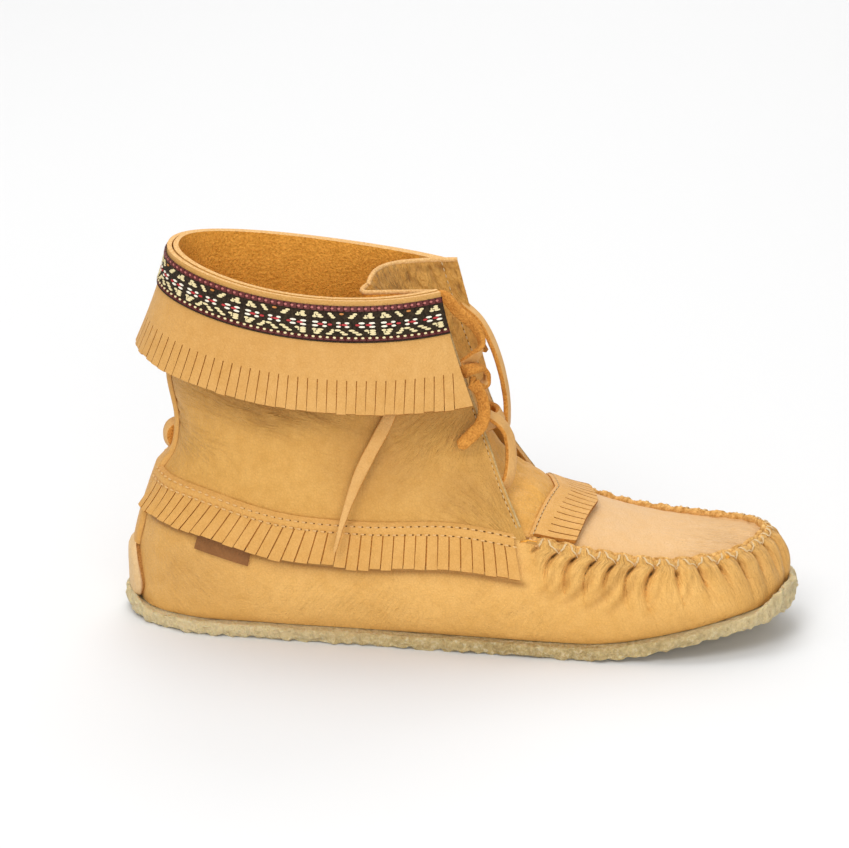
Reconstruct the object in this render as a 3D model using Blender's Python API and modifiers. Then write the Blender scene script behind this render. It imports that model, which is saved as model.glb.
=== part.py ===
"""Fringed moccasin ankle boot for the right foot, in Blender Python (metres, +Z up).

The toe points along +X, the outer (lateral) side of the foot faces -Y and the inner (medial)
side +Y. The origin is on the floor in the middle of the shoe.

The upper is a true moccasin: one bottom leather runs under the foot and up to a gathered seam,
a plug closes the top of the toe, and two quarters rise from the seam to the collar. All of it
is one hollow wall, open at the collar and at the throat. A crepe outsole lies under it. The
turned-down cuff, the fringes, the trim and the laces are overlays made from the same surfaces.
"""

import math

import bmesh
import bpy
import numpy as np
from mathutils import Vector

MM = 0.001

# ---------------------------------------------------------------- driving sizes, in metres
LENGTH = 0.265  # outsole, heel to toe
BALL_WIDTH = 0.097  # outsole, across the ball of the foot
SEAM_HEIGHT = 0.050  # side seam above the floor at mid foot
COLLAR_HEIGHT = 0.1483  # top of the quarters at the back of the ankle

CREPE = 0.0053  # outsole thickness
TOE_SPRING = 0.0112  # rise of the outsole's underside at the tip of the toe
SPRING_FROM, SPRING_TO = 0.048, 0.130  # where the underside leaves the floor and levels out
HEEL_ROCKER = 0.0020  # rise of the underside at the back of the heel
ROCKER_START = -0.114
TOE_LIP = 0.0058  # crepe turned up round the tip of the toe
HEEL_LIP = 0.0024

LEATHER = 0.0020  # upper
CUFF_LEATHER = 0.0018
TRIM_LEATHER = 0.0015  # fringes and back stay
TONGUE_LEATHER = 0.0015
TAB_THICK = 0.0026  # heel tab
LABEL_THICK = 0.0008
BRAID_THICK = 0.0008
GAP = 0.0003  # left between pieces that touch

INSOLE_THICK = 0.0025
INSOLE_INSET = 0.0088  # from the edge of the outsole
FEATHER_INSET = 0.0046  # bottom edge of the upper, from the edge of the outsole
CAP_INSET = 0.016  # inner ring of the underfoot faces
SEAM_DIP = 0.0016  # the plug lies this far below the gathered edge round it

CUFF_STRIPS = 80
CUFF_SLIT_FROM = 0.74  # share of the cuff's drop where its slits start
BRAID_FROM, BRAID_TO = 0.05, 0.385  # shares of the cuff's drop
CUFF_ROWS = (0.045, 0.4)  # rows of the cuff just beyond the braid's edges
SIDE_STRIPS = 36
SIDE_START = 0.016  # share of the seam left free behind the vent
SIDE_BAND = 0.0031  # depth of the uncut band of the side fringes
SIDE_DROP = 0.0158  # whole depth of the side fringes
SIDE_LIFT = 0.0019  # how far their tips stand off the foot
SIDE_LEAN = 0.0060  # how far their tips lean back round the heel
INSTEP_STRIPS = 18
INSTEP_BAND = 0.0055
INSTEP_DROP = 0.0172
RIDGE_END = 0.70  # share of the seam, vent to toe, beside the front end of the plug's ridge
PLUG_BOW = 0.0080  # how far the plug's rear edge bows forward in the middle
SLIT = 0.15  # share of a strip's pitch that the cut takes
STAY_HALF = 0.009  # half the width of the back stay
SIDE_TAB = (-0.0950, -0.0748)  # the blank side tab's two ends, along X

THONG_WIDTH = 0.0050
THONG_THICK = 0.0021

# ---------------------------------------------------------------- the last, in tables
# A row for each landmark round the foot, from the back of the heel along the outer side to the
# toe and back along the inner side. The outsole's edge and the seam ring, x in shares of
# LENGTH, y in shares of BALL_WIDTH, z in shares of SEAM_HEIGHT. swell is how far the wall
# between them stands out, in millimetres.
GIRTH_COLUMNS = ("landmark", "sole_x", "sole_y", "seam_x", "seam_y", "seam_z", "swell")
GIRTH = (
    ("heel back", -0.502, 0.000, -0.447, 0.000, 1.205, 3.6),
    ("heel back outer", -0.475, -0.180, -0.426, -0.165, 1.190, 3.6),
    ("heel outer", -0.398, -0.310, -0.360, -0.287, 1.150, 3.8),
    ("heel breast outer", -0.283, -0.350, -0.257, -0.361, 1.045, 4.2),
    ("waist outer", -0.132, -0.378, -0.125, -0.392, 1.008, 4.8),
    ("mid foot outer", 0.019, -0.412, 0.008, -0.405, 1.028, 4.8),
    ("vent outer", 0.150, -0.442, 0.113, -0.392, 0.925, 4.6),
    ("ball outer", 0.275, -0.446, 0.230, -0.358, 0.790, 4.8),
    ("toe outer", 0.388, -0.378, 0.333, -0.284, 0.705, 4.4),
    ("little toe", 0.462, -0.232, 0.414, -0.152, 0.710, 4.0),
    ("toe tip", 0.496, 0.052, 0.461, 0.072, 0.760, 3.8),
    ("big toe", 0.462, 0.290, 0.432, 0.215, 0.750, 4.0),
    ("toe inner", 0.388, 0.430, 0.360, 0.290, 0.735, 4.4),
    ("ball inner", 0.258, 0.492, 0.250, 0.345, 0.765, 4.8),
    ("vent inner", 0.120, 0.450, 0.113, 0.388, 0.925, 4.8),
    ("mid foot inner", -0.020, 0.362, -0.008, 0.396, 1.028, 4.8),
    ("arch", -0.150, 0.318, -0.143, 0.376, 1.010, 4.8),
    ("heel breast inner", -0.283, 0.326, -0.264, 0.352, 1.050, 4.2),
    ("heel inner", -0.398, 0.300, -0.360, 0.283, 1.150, 3.8),
    ("heel back inner", -0.475, 0.178, -0.426, 0.163, 1.190, 3.6),
)
TOE_ROW, VENT_OUTER_ROW, VENT_INNER_ROW = 10, 6, 14

# Rings of the shaft above the seam, each an oval that is open at the front. back and front are
# its two ends, edge_y half the gap between the quarters' front edges, half_width its widest
# half at mid_x, and the sags how far the middle of each side hangs below the line between the
# ends. x and y are shares of LENGTH and BALL_WIDTH, z and the sags of COLLAR_HEIGHT. The hem is
# the cuff's.
RING_COLUMNS = (
    "back_x", "back_z", "front_x", "front_z",
    "edge_y", "half_width", "mid_x", "outer_sag", "inner_sag",
)
SHAFT = (
    (-0.4275, 0.445, 0.0811, 0.4147, 0.294, 0.385, -0.15, 0.000, 0.000),
    (-0.4162, 0.526, 0.0509, 0.5327, 0.196, 0.361, -0.17, 0.000, 0.000),
    (-0.4264, 0.661, 0.0170, 0.7013, 0.191, 0.347, -0.20, 0.000, 0.000),
    (-0.4185, 1.010, -0.0242, 0.9373, 0.206, 0.338, -0.22, 0.036, 0.010),
)
HEM = (-0.4690, 0.752, 0.0290, 0.6640, 0.335, 0.480, -0.20, 0.038, 0.034)

# Rings up the edge of the outsole: how far in from its widest, how much further in at the toe,
# how high (metres), and the share of the turned-up lip.
CREPE_EDGE = (
    (0.0014, 0.0026, 0.0, 0.0),
    (0.0002, 0.0010, 0.0014, 0.12),
    (0.0000, 0.0, 0.0040, 0.45),
    (0.0008, 0.0, CREPE, 0.95),
    (0.0024, 0.0, CREPE, 1.0),
    (0.0032, 0.0, CREPE, 0.0),
)

# The ridge of the plug along the middle of the foot, metres.
RIDGE_X = (0.036, 0.0535, 0.072, 0.100, 0.1225)
RIDGE_Z = (0.0554, 0.0482, 0.0422, 0.0385, 0.0378)

# Rows up the tongue above the plug: its middle, half its width, how far its edges drop and lie
# back, and how deep the gusset folds back towards the heel. Metres.
TONGUE_COLUMNS = ("x", "z", "half_width", "drop", "back", "fold")
TONGUE = (
    (0.0310, 0.0586, 0.0335, 0.0125, 0.0060, 0.0),
    (0.0225, 0.0642, 0.0305, 0.0125, 0.0080, 0.0),
    (0.0148, 0.0722, 0.0250, 0.0080, 0.0080, 0.0),
    (0.0096, 0.0820, 0.0190, 0.0030, 0.0060, 0.0),
    (0.0050, 0.0940, 0.0165, 0.0, 0.0030, 0.0040),
    (0.0003, 0.1070, 0.0160, 0.0, 0.0, 0.0140),
    (-0.0045, 0.1240, 0.0162, 0.0, 0.0, 0.0240),
    (-0.0083, 0.1375, 0.0168, 0.0, 0.0, 0.0280),
)
TONGUE_NEAR = 0.0118  # its outer front edge stops here to leave room for the laces

# Laces: centreline points, then the way the thong's grain side faces at both ends. Metres.
LACES = {
    "lace_bar": (
        ((0.0080, -0.0150, 0.0830), (0.0122, -0.0080, 0.0826), (0.0140, 0.0000, 0.0822),
         (0.0122, 0.0080, 0.0826), (0.0080, 0.0150, 0.0830)),
        (0.9, -0.3, 0.5), (0.9, 0.3, 0.5),
    ),
    "lace_back": (
        ((-0.1138, 0.0, 0.0800), (-0.1153, 0.0, 0.0778), (-0.1168, 0.0, 0.0742),
         (-0.1177, 0.0, 0.0705), (-0.1183, 0.0, 0.0672), (-0.1191, 0.0, 0.0644)),
        (-1.0, 0.0, 0.6), (-1.0, 0.0, -0.2),
    ),
    "lace_loop_top": (
        ((-0.0110, -0.0162, 0.1340), (-0.0055, -0.0166, 0.1372), (0.0010, -0.0170, 0.1312),
         (0.0078, -0.0166, 0.1248), (0.0098, -0.0158, 0.1190), (0.0068, -0.0150, 0.1126),
         (0.0010, -0.0148, 0.1074)),
        (-0.3, 1.0, 0.3), (0.4, -1.0, -0.3),
    ),
    "lace_loop_long": (
        ((-0.0006, 0.0171, 0.1240), (0.0062, 0.0153, 0.1184), (0.0122, 0.0112, 0.1090),
         (0.0160, 0.0082, 0.0984), (0.0180, 0.0062, 0.0875), (0.0183, 0.0035, 0.0785)),
        (0.7, -0.2, 0.7), (1.0, -0.1, 0.1),
    ),
    "lace_knot": (
        ((0.0064, -0.0208, 0.1095), (0.0097, -0.0170, 0.1091), (0.0120, -0.0148, 0.1058),
         (0.0114, -0.0156, 0.1026), (0.0092, -0.0182, 0.1014)),
        (0.3, 0.2, 1.0), (0.3, 0.2, -1.0),
    ),
    "lace_end": (
        ((0.0062, -0.0224, 0.1066), (0.0100, -0.0229, 0.1010), (0.0118, -0.0240, 0.0950),
         (0.0108, -0.0252, 0.0890), (0.0072, -0.0272, 0.0850), (0.0024, -0.0290, 0.0805)),
        (0.4, 1.0, 0.3), (0.3, 1.0, 0.3),
    ),
    "lace_loop_low": (
        ((0.0115, -0.0182, 0.0912), (0.0168, -0.0172, 0.0877), (0.0204, -0.0150, 0.0812),
         (0.0216, -0.0162, 0.0744), (0.0216, -0.0205, 0.0690), (0.0206, -0.0218, 0.0650),
         (0.0182, -0.0220, 0.0622)),
        (0.6, -0.4, 0.8), (0.9, -0.5, 0.1),
    ),
    "thong_end": (
        ((-0.0196, -0.0312, 0.1040), (-0.0234, -0.0336, 0.0945), (-0.0352, -0.0402, 0.0700),
         (-0.0404, -0.0440, 0.0546), (-0.0435, -0.0470, 0.0423)),
        (0.0, -1.0, 0.1), (0.0, -1.0, 0.15),
    ),
}
LACE_RINGS = {"lace_bar": 9, "lace_back": 7}

# Where the foot's middle lies, for telling a surface's outer side from its inner side.
INSIDE = np.array([-0.020, 0.0, 0.030])


# ---------------------------------------------------------------- curves through tables
def column(table, columns, name):
    return np.array([row[columns.index(name)] for row in table], float)


def hermite(knots, values, at, period=None):
    """Smooth curve through values at knots, read at the given places. It may be periodic."""
    knots = np.asarray(knots, float)
    values = np.asarray(values, float)
    at = np.asarray(at, float)
    if period is not None:
        knots = np.concatenate([[knots[-1] - period], knots, [knots[0] + period, knots[1] + period]])
        values = np.concatenate([values[-1:], values, values[:2]])
        at = np.mod(at, period)
    slopes = np.gradient(values, knots, axis=0)
    i = np.clip(np.searchsorted(knots, at, side="right") - 1, 0, len(knots) - 2)
    width = knots[i + 1] - knots[i]
    s = (at - knots[i]) / width
    spread = (Ellipsis,) + (None,) * (values.ndim - 1)
    width, s = width[spread], s[spread]
    return (
        (2 * s**3 - 3 * s**2 + 1) * values[i]
        + (s**3 - 2 * s**2 + s) * width * slopes[i]
        + (3 * s**2 - 2 * s**3) * values[i + 1]
        + (s**3 - s**2) * width * slopes[i + 1]
    )


def smoothstep(low, high, value):
    s = np.clip((np.asarray(value, float) - low) / (high - low), 0.0, 1.0)
    return s * s * (3 - 2 * s)


# ---------------------------------------------------------------- the foot's girth
SOLE_ROWS = np.stack(
    [
        column(GIRTH, GIRTH_COLUMNS, "sole_x") * LENGTH,
        column(GIRTH, GIRTH_COLUMNS, "sole_y") * BALL_WIDTH,
    ],
    axis=1,
)
SEAM_ROWS = np.stack(
    [
        column(GIRTH, GIRTH_COLUMNS, "seam_x") * LENGTH,
        column(GIRTH, GIRTH_COLUMNS, "seam_y") * BALL_WIDTH,
        column(GIRTH, GIRTH_COLUMNS, "seam_z") * SEAM_HEIGHT,
    ],
    axis=1,
)
SWELL_ROWS = column(GIRTH, GIRTH_COLUMNS, "swell") * MM
_steps = np.linalg.norm(np.roll(SOLE_ROWS, -1, axis=0) - SOLE_ROWS, axis=1)
WAY_ROWS = np.concatenate([[0.0], np.cumsum(_steps)[:-1]]) / _steps.sum()
TOE_WAY, VENT_OUTER_WAY, VENT_INNER_WAY = (
    WAY_ROWS[TOE_ROW],
    WAY_ROWS[VENT_OUTER_ROW],
    WAY_ROWS[VENT_INNER_ROW],
)


def sole_edge(way):
    return hermite(WAY_ROWS, SOLE_ROWS, way, period=1.0)


def outward(way):
    """Level unit normal of the outsole's edge, pointing away from the foot."""
    step = 0.002
    along = sole_edge(np.asarray(way) + step) - sole_edge(np.asarray(way) - step)
    along = along / np.linalg.norm(along, axis=-1, keepdims=True)
    return np.stack([-along[..., 1], along[..., 0]], axis=-1) * -1.0


def inset_edge(way, inset):
    return sole_edge(way) - outward(way) * inset


def spring(x):
    """Height of the outsole's underside above the floor."""
    heel = np.clip((ROCKER_START - x) / (ROCKER_START + LENGTH / 2), 0.0, None)
    return TOE_SPRING * smoothstep(SPRING_FROM, SPRING_TO, x) + HEEL_ROCKER * heel**2


def lip(x):
    """How far the edge of the crepe turns up past its top face."""
    return TOE_LIP * smoothstep(0.114, 0.130, x) + HEEL_LIP * smoothstep(-0.118, -0.130, x)


def seam(way):
    return hermite(WAY_ROWS, SEAM_ROWS, way, period=1.0)


def swell(way):
    return hermite(WAY_ROWS, SWELL_ROWS, way, period=1.0)


def wall(way, height):
    """Outer face of the bottom leather, from its feather edge (0) to the seam (1)."""
    height = np.asarray(height, float)
    foot = inset_edge(way, FEATHER_INSET)
    foot = np.concatenate([foot, spring(foot[..., :1]) + CREPE + GAP], axis=-1)
    point = foot + (seam(way) - foot) * height[..., None]
    out = swell(way) * np.sin(math.pi * height**0.8)
    point[..., :2] += outward(way) * out[..., None]
    return point


# ---------------------------------------------------------------- the shaft
def at_shares(points, shares):
    """Points at the given shares of a polyline's length."""
    steps = np.linalg.norm(np.diff(points, axis=0), axis=1)
    along = np.concatenate([[0.0], np.cumsum(steps)]) / steps.sum()
    return np.stack([np.interp(shares, along, points[:, k]) for k in range(points.shape[1])], axis=1)


def oval(ring, shares):
    """Points on an open ring, from its outer front edge (0) round the heel to the inner (1)."""
    back_x, back_z, front_x, front_z, edge_y, half_width, mid_x, outer_sag, inner_sag = ring
    back, front, mid = back_x * LENGTH, front_x * LENGTH, mid_x * LENGTH
    half, edge = half_width * BALL_WIDTH, edge_y * BALL_WIDTH
    turn_end = math.acos(edge / half)
    nose = (front - mid) / math.sin(turn_end)
    ahead = np.linspace(turn_end, 0.0, 80)
    behind = np.linspace(0.0, math.pi / 2, 80)[1:]
    x = np.concatenate([mid + nose * np.sin(ahead), mid - (mid - back) * np.sin(behind)])
    y = np.concatenate([half * np.cos(ahead), half * np.cos(behind) ** 0.86])
    lean = (x - back) / (front - back)
    level = back_z + (front_z - back_z) * lean
    hang = 4 * lean * (1 - lean)
    outer_z = (level - outer_sag * hang) * COLLAR_HEIGHT
    inner_z = (level - inner_sag * hang) * COLLAR_HEIGHT
    outer = np.stack([x, -y, outer_z], axis=1)
    inner = np.stack([x, y, inner_z], axis=1)[::-1][1:]
    return at_shares(np.concatenate([outer, inner]), shares)


FINE_WAYS = np.linspace(VENT_OUTER_WAY, VENT_INNER_WAY - 1.0, 600)
FINE_SEAM = seam(FINE_WAYS)
_steps = np.linalg.norm(np.diff(FINE_SEAM, axis=0), axis=1)
REAR_LENGTH = _steps.sum()
FINE_SHARES = np.concatenate([[0.0], np.cumsum(_steps)]) / REAR_LENGTH


def rear_way(shares):
    """Ways at shares of the seam, from the outer vent (0) over the heel (0.5) to the inner."""
    return np.interp(shares, FINE_SHARES, FINE_WAYS)


def shaft(shares, rows):
    """Grid [row][share] of the quarters' outer face, from the seam (0) to the collar (1)."""
    controls = np.stack([seam(rear_way(shares))] + [oval(ring, shares) for ring in SHAFT])
    knots = controls[:, len(shares) // 2, 2]
    knots = (knots - knots[0]) / (knots[-1] - knots[0])
    return hermite(knots, controls, np.asarray(rows, float))


def grown(grid, amount):
    """A grid of points moved along its outward normals."""
    across = np.gradient(grid, axis=1)
    up = np.gradient(grid, axis=0)
    normal = np.cross(across, up)
    normal /= np.linalg.norm(normal, axis=2, keepdims=True)
    side = np.sign(np.sum(normal * (grid - INSIDE), axis=2, keepdims=True))
    return grid + normal * side * np.asarray(amount, float).reshape(-1, 1, 1)


def fall(ways, depths):
    """Grid [depth][way] on the bottom leather, depth measured down along it from the seam."""
    heights = np.linspace(1.0, 0.3, 60)
    lines = wall(np.asarray(ways)[None, :], heights[:, None])
    steps = np.linalg.norm(np.diff(lines, axis=0), axis=2)
    along = np.concatenate([np.zeros((1, lines.shape[1])), np.cumsum(steps, axis=0)])
    grid = np.empty((len(depths), lines.shape[1], 3))
    for j in range(lines.shape[1]):
        for k in range(3):
            grid[:, j, k] = np.interp(depths, along[:, j], lines[:, j, k])
    return grid


def both_seams(shares):
    """Seam points at the same shares of the way from both vents to the toe."""
    outer = seam(VENT_OUTER_WAY + shares * (TOE_WAY - VENT_OUTER_WAY))
    inner = seam(VENT_INNER_WAY - shares * (VENT_INNER_WAY - TOE_WAY))
    return outer, inner


def plug(shares, across):
    """Grid [share][across] of the plug's outer face, from the throat (0) to the toe (1).

    Across runs from the outer seam (-1) over the ridge (0) to the inner seam (1). The ridge
    ends at RIDGE_END, and the shares past it fan out from there round the toe."""
    shares = np.asarray(shares, float)
    across = np.asarray(across, float)[None, :, None]
    outer, inner = both_seams(shares)
    outer_last, inner_last = both_seams(np.minimum(shares, RIDGE_END))
    middle = (outer_last + inner_last) / 2
    middle[..., 0] += PLUG_BOW * smoothstep(0.075, 0.031, middle[..., 0])
    side = np.where(across < 0, outer[:, None, :], inner[:, None, :])
    grid = side + (middle[:, None, :] - side) * (1 - np.abs(across))
    arch = 1 - np.abs(across[..., 0]) ** 2.2
    ridge = hermite(RIDGE_X, RIDGE_Z, np.clip(middle[:, 0], RIDGE_X[0], RIDGE_X[-1]))
    grid[..., 2] += np.clip(ridge + SEAM_DIP - middle[:, 2], 0.0, None)[:, None] * arch
    edge = seam(np.linspace(VENT_OUTER_WAY, VENT_INNER_WAY, 240))
    away = np.linalg.norm(grid[:, :, None, :2] - edge[None, None, :, :2], axis=3).min(axis=2)
    grid[..., 2] -= SEAM_DIP * smoothstep(0.0008, 0.005, away)
    return grid


def cuff(shares, drops):
    """Grid [drop][share] of the cuff's inner face. Below 0 it lies on top of the collar."""
    rim = oval(SHAFT[-1], shares)
    along = np.gradient(rim[:, :2], axis=0)
    level = np.stack([-along[:, 1], along[:, 0]], axis=1)
    level /= np.linalg.norm(level, axis=1, keepdims=True)
    centre = np.array([SHAFT[-1][6] * LENGTH, 0.0])
    level *= np.sign(np.sum(level * (rim[:, :2] - centre), axis=1, keepdims=True))
    hem = oval(HEM, shares)
    grid = []
    for drop in drops:
        row = rim.copy()
        row[:, 2] += GAP
        row[:, :2] += level * (GAP if drop >= 0 else -LEATHER * 0.9)
        if drop > 0:
            row += (hem - row) * np.array([drop**1.25, drop**1.25, drop])
        grid.append(row)
    return np.array(grid)


# ---------------------------------------------------------------- meshes
def collection(name):
    found = bpy.data.collections.new(name)
    bpy.context.scene.collection.children.link(found)
    return found


def material(name, colour, roughness):
    made = bpy.data.materials.new(name)
    made.use_nodes = True
    shader = made.node_tree.nodes["Principled BSDF"]
    shader.inputs["Base Color"].default_value = (*colour, 1.0)
    shader.inputs["Roughness"].default_value = roughness
    made.diffuse_color = (*colour, 1.0)
    return made


class Faces:
    """Points and faces gathered grid by grid."""

    def __init__(self):
        self.points = []
        self.faces = []

    def grid(self, rows):
        """Adds rows of points, joined by quads."""
        rows = [np.asarray(row, float) for row in rows]
        start, wide = len(self.points), len(rows[0])
        for row in rows:
            self.points.extend(row)
        for i in range(len(rows) - 1):
            for j in range(wide - 1):
                a = start + i * wide + j
                self.faces.append((a, a + 1, a + wide + 1, a + wide))

    def face(self, corners):
        start = len(self.points)
        self.points.extend(corners)
        self.faces.append(tuple(range(start, start + len(corners))))

    def strips(self, surface, count, body, tips):
        """A sheet over surface(shares, depths), plain down the body and cut into strips below.

        The body's last depth is where the slits start. count is even."""
        pitch = 1.0 / count
        cut = SLIT * pitch / 2
        left = [k * pitch + (cut if k else 0.0) for k in range(count)]
        right = [(k + 1) * pitch - (cut if k < count - 1 else 0.0) for k in range(count)]
        whole = np.linspace(0.0, 1.0, count // 2 + 1)
        rows = surface(whole, list(body))[:-1]
        self.grid(rows)
        ends = np.array([side[k] for k in range(count) for side in (left, right)])
        depths = [body[-2], body[-1], *tips]
        fine = surface(ends, depths)[1:]
        for k in range(count):
            self.grid(fine[:, 2 * k : 2 * k + 2])
        top, low = rows[-1], fine[0]
        for j in range(count // 2):
            first = 4 * j - 1 if j else 0
            under = [low[i] for i in range(first, 4 * j + 4)]
            turn = len(under) // 2
            for i in range(len(under) - 1):
                if i == turn:
                    self.face([top[j], under[i], top[j + 1]])
                self.face([top[j] if i < turn else top[j + 1], under[i], under[i + 1]])


def mesh_from(name, faces, finish, home):
    """A smooth mesh object with doubled points merged and its faces turned outwards."""
    form = bmesh.new()
    points = [form.verts.new(tuple(map(float, v))) for v in faces.points]
    for face in faces.faces:
        form.faces.new([points[i] for i in face])
    bmesh.ops.remove_doubles(form, verts=form.verts, dist=2e-5)
    bmesh.ops.dissolve_degenerate(form, edges=form.edges, dist=1e-6)
    bmesh.ops.recalc_face_normals(form, faces=form.faces)
    if any(edge.is_boundary for edge in form.edges):
        turned = sum(
            face.normal.dot(face.calc_center_median() - Vector(INSIDE)) * face.calc_area()
            for face in form.faces
        )
        if turned < 0:
            bmesh.ops.reverse_faces(form, faces=form.faces)
    mesh = bpy.data.meshes.new(name)
    form.to_mesh(mesh)
    form.free()
    mesh.shade_smooth()
    mesh.materials.append(finish)
    made = bpy.data.objects.new(name, mesh)
    home.objects.link(made)
    return made


def thicken(made, thickness, offset):
    """Turns an open surface into a wall. offset -1 grows it inwards and 1 outwards."""
    grown_wall = made.modifiers.new("wall", "SOLIDIFY")
    grown_wall.thickness = thickness
    grown_wall.offset = offset
    grown_wall.use_even_offset = False
    grown_wall.use_quality_normals = True
    return made


def even_ways(half_count):
    """Closed ways round, half_count steps from heel to toe on each side."""
    outer = np.linspace(0.0, TOE_WAY, half_count + 1)
    inner = np.linspace(TOE_WAY, 1.0, half_count + 1)[1:]
    return np.concatenate([outer, inner])


def level_ring(ways, inset, rise):
    flat = inset_edge(ways, inset)
    return np.concatenate([flat, spring(flat[:, :1]) + rise], axis=1)


def underfoot(faces, ways, edge_inset, rise):
    """Faces under the foot out to edge_inset. ways start and end at the heel."""
    rings = [level_ring(ways, edge_inset, rise), level_ring(ways, CAP_INSET, rise)]
    faces.grid(rings)
    half = len(ways) // 2
    inner = rings[1]
    faces.grid([inner[: half + 1], inner[::-1][: half + 1]])
    return rings[0]


# ---------------------------------------------------------------- the pieces
def make_outsole(finish, home):
    faces = Faces()
    ways = even_ways(28)
    turn_up = lip(sole_edge(ways)[:, :1])
    toe = turn_up / TOE_LIP

    def ring(inset, rise, share):
        flat = inset_edge(ways, 0.0) - outward(ways) * inset
        return np.concatenate([flat, spring(flat[:, :1]) + rise + turn_up * share], axis=1)

    bottom = underfoot(faces, ways, CAP_INSET * 0.5, 0.0)
    side = [
        bottom,
        *(ring(inset + at_toe * toe, rise, share) for inset, at_toe, rise, share in CREPE_EDGE),
    ]
    side.append(underfoot(faces, ways, 0.0050, CREPE))
    faces.grid(side)
    return mesh_from("outsole", faces, finish, home)


REAR_COLUMNS, FRONT_HALF = 33, 13
WALL_ROWS = (0.0, 0.10, 0.34, 0.68, 1.0)
SHAFT_ROWS = (0.0, 0.07, 0.15, 0.24, 0.44, 0.70, 1.0)
PLUG_ACROSS = (-1.0, -0.84, -0.6, -0.32, 0.0, 0.32, 0.6, 0.84, 1.0)


def front_ways():
    outer = np.linspace(VENT_OUTER_WAY, TOE_WAY, FRONT_HALF + 1)
    inner = np.linspace(TOE_WAY, VENT_INNER_WAY, FRONT_HALF + 1)[1:]
    return np.concatenate([outer, inner])


def make_upper(finish, home):
    faces = Faces()
    shares = np.linspace(0.0, 1.0, REAR_COLUMNS)
    rear, front = rear_way(shares), front_ways()
    heights = np.array(WALL_ROWS)[:, None]
    for ways in (rear, front):
        faces.grid(wall(ways[None, :], heights))
    faces.grid(shaft(shares, SHAFT_ROWS))
    faces.grid(plug(np.linspace(0.0, 1.0, FRONT_HALF + 1), PLUG_ACROSS))
    # Under the foot the two sides are joined straight across.
    closed = np.concatenate([front, rear[::-1][1:]])
    inner = level_ring(closed, CAP_INSET, CREPE + GAP)
    faces.grid([wall(closed, np.zeros(len(closed))), inner])
    ring = np.roll(inner[:-1], -FRONT_HALF, axis=0)
    count = len(ring)
    for k in range(count // 2):
        corners = [ring[k], ring[k + 1], ring[count - k - 1], ring[(count - k) % count]]
        if k == 0:
            corners.pop()
        if k == count // 2 - 1:
            corners.pop(2)
        faces.face(corners)
    return thicken(mesh_from("upper", faces, finish, home), LEATHER, -1.0)


def make_insole(finish, home):
    faces = Faces()
    ways = even_ways(20)
    rise = CREPE + GAP + LEATHER + GAP
    under = underfoot(faces, ways, INSOLE_INSET, rise)
    over = underfoot(faces, ways, INSOLE_INSET, rise + INSOLE_THICK)
    faces.grid([under, over])
    return mesh_from("insole", faces, finish, home)


def tongue_row(row, count):
    """Points across the tongue. A fold turns the arc into a pleat that points to the heel."""
    x, z, half, drop, back, fold = row
    share = np.linspace(-1.0, 1.0, count)
    arc = np.stack([x - back * share**2, half * share, z - drop * share**2], axis=1)
    if fold <= 0.0:
        return arc
    bend = 0.0025
    tip_x, tip_y = x - fold, -0.0152
    near = np.linspace((x, -TONGUE_NEAR), (tip_x + bend, tip_y), 8)
    turns = np.linspace(0.0, math.pi, 9)[1:-1]
    nose = [(tip_x + bend - bend * math.sin(a), tip_y + bend - bend * math.cos(a)) for a in turns]
    start, end = np.array([tip_x + bend, tip_y + 2 * bend]), np.array([x, half])
    s = np.linspace(0.0, 1.0, 14)[:, None]
    far = start + (end - start) * s + np.array([-0.25, 0.215]) * fold * 4 * s * (1 - s)
    line = at_shares(np.concatenate([near, nose, far]), np.linspace(0.0, 1.0, count))
    folded = np.concatenate([line, np.full((count, 1), z)], axis=1)
    return arc + (folded - arc) * smoothstep(0.0, 0.010, fold)


def make_tongue(finish, home):
    count = 21
    faces = Faces()
    share = np.linspace(-1.0, 1.0, count)
    under = grown(plug((0.0, 0.06, 0.13), share * 0.90), -(LEATHER + 2 * GAP + TONGUE_LEATHER / 2))
    rows = [*under[::-1], *(tongue_row(row, count) for row in TONGUE)]
    faces.grid(rows)
    return thicken(mesh_from("tongue", faces, finish, home), TONGUE_LEATHER, 0.0)


def make_cuff(finish, home):
    faces = Faces()
    faces.strips(cuff, CUFF_STRIPS, (-1.0, 0.0, *CUFF_ROWS, CUFF_SLIT_FROM), (1.0,))
    return thicken(mesh_from("cuff", faces, finish, home), CUFF_LEATHER, 1.0)


def make_braid(finish, home):
    faces = Faces()
    shares = np.linspace(0.0, 1.0, CUFF_STRIPS // 2 + 1)
    grid = cuff(shares, CUFF_ROWS)
    span = CUFF_ROWS[1] - CUFF_ROWS[0]
    low, high = ((edge - CUFF_ROWS[0]) / span for edge in (BRAID_FROM, BRAID_TO))
    rows = [grid[0] + (grid[1] - grid[0]) * s for s in (low, (low + high) / 2, high)]
    faces.grid(grown(np.array(rows), CUFF_LEATHER + GAP))
    return thicken(mesh_from("braid_trim", faces, finish, home), BRAID_THICK, 1.0)


def side_fringe(side):
    """Surface of a side fringe, from the vent (share 0) back to the stay (1)."""
    end = 0.5 - (STAY_HALF + 2 * GAP) / REAR_LENGTH

    def surface(shares, depths):
        rear = SIDE_START + np.asarray(shares) * (end - SIDE_START)
        lean = smoothstep(0.18, 0.34, rear) * (1 - 0.9 * smoothstep(0.38, end, rear))
        rows = []
        for depth in depths:
            back = np.clip(rear + lean * SIDE_LEAN / REAR_LENGTH * depth / SIDE_DROP, 0, end)
            rows.append(fall(rear_way(back if side < 0 else 1 - back), [depth])[0])
        return grown(np.array(rows), 1.7 * GAP + SIDE_LIFT * np.array(depths) / SIDE_DROP)

    return surface


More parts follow.
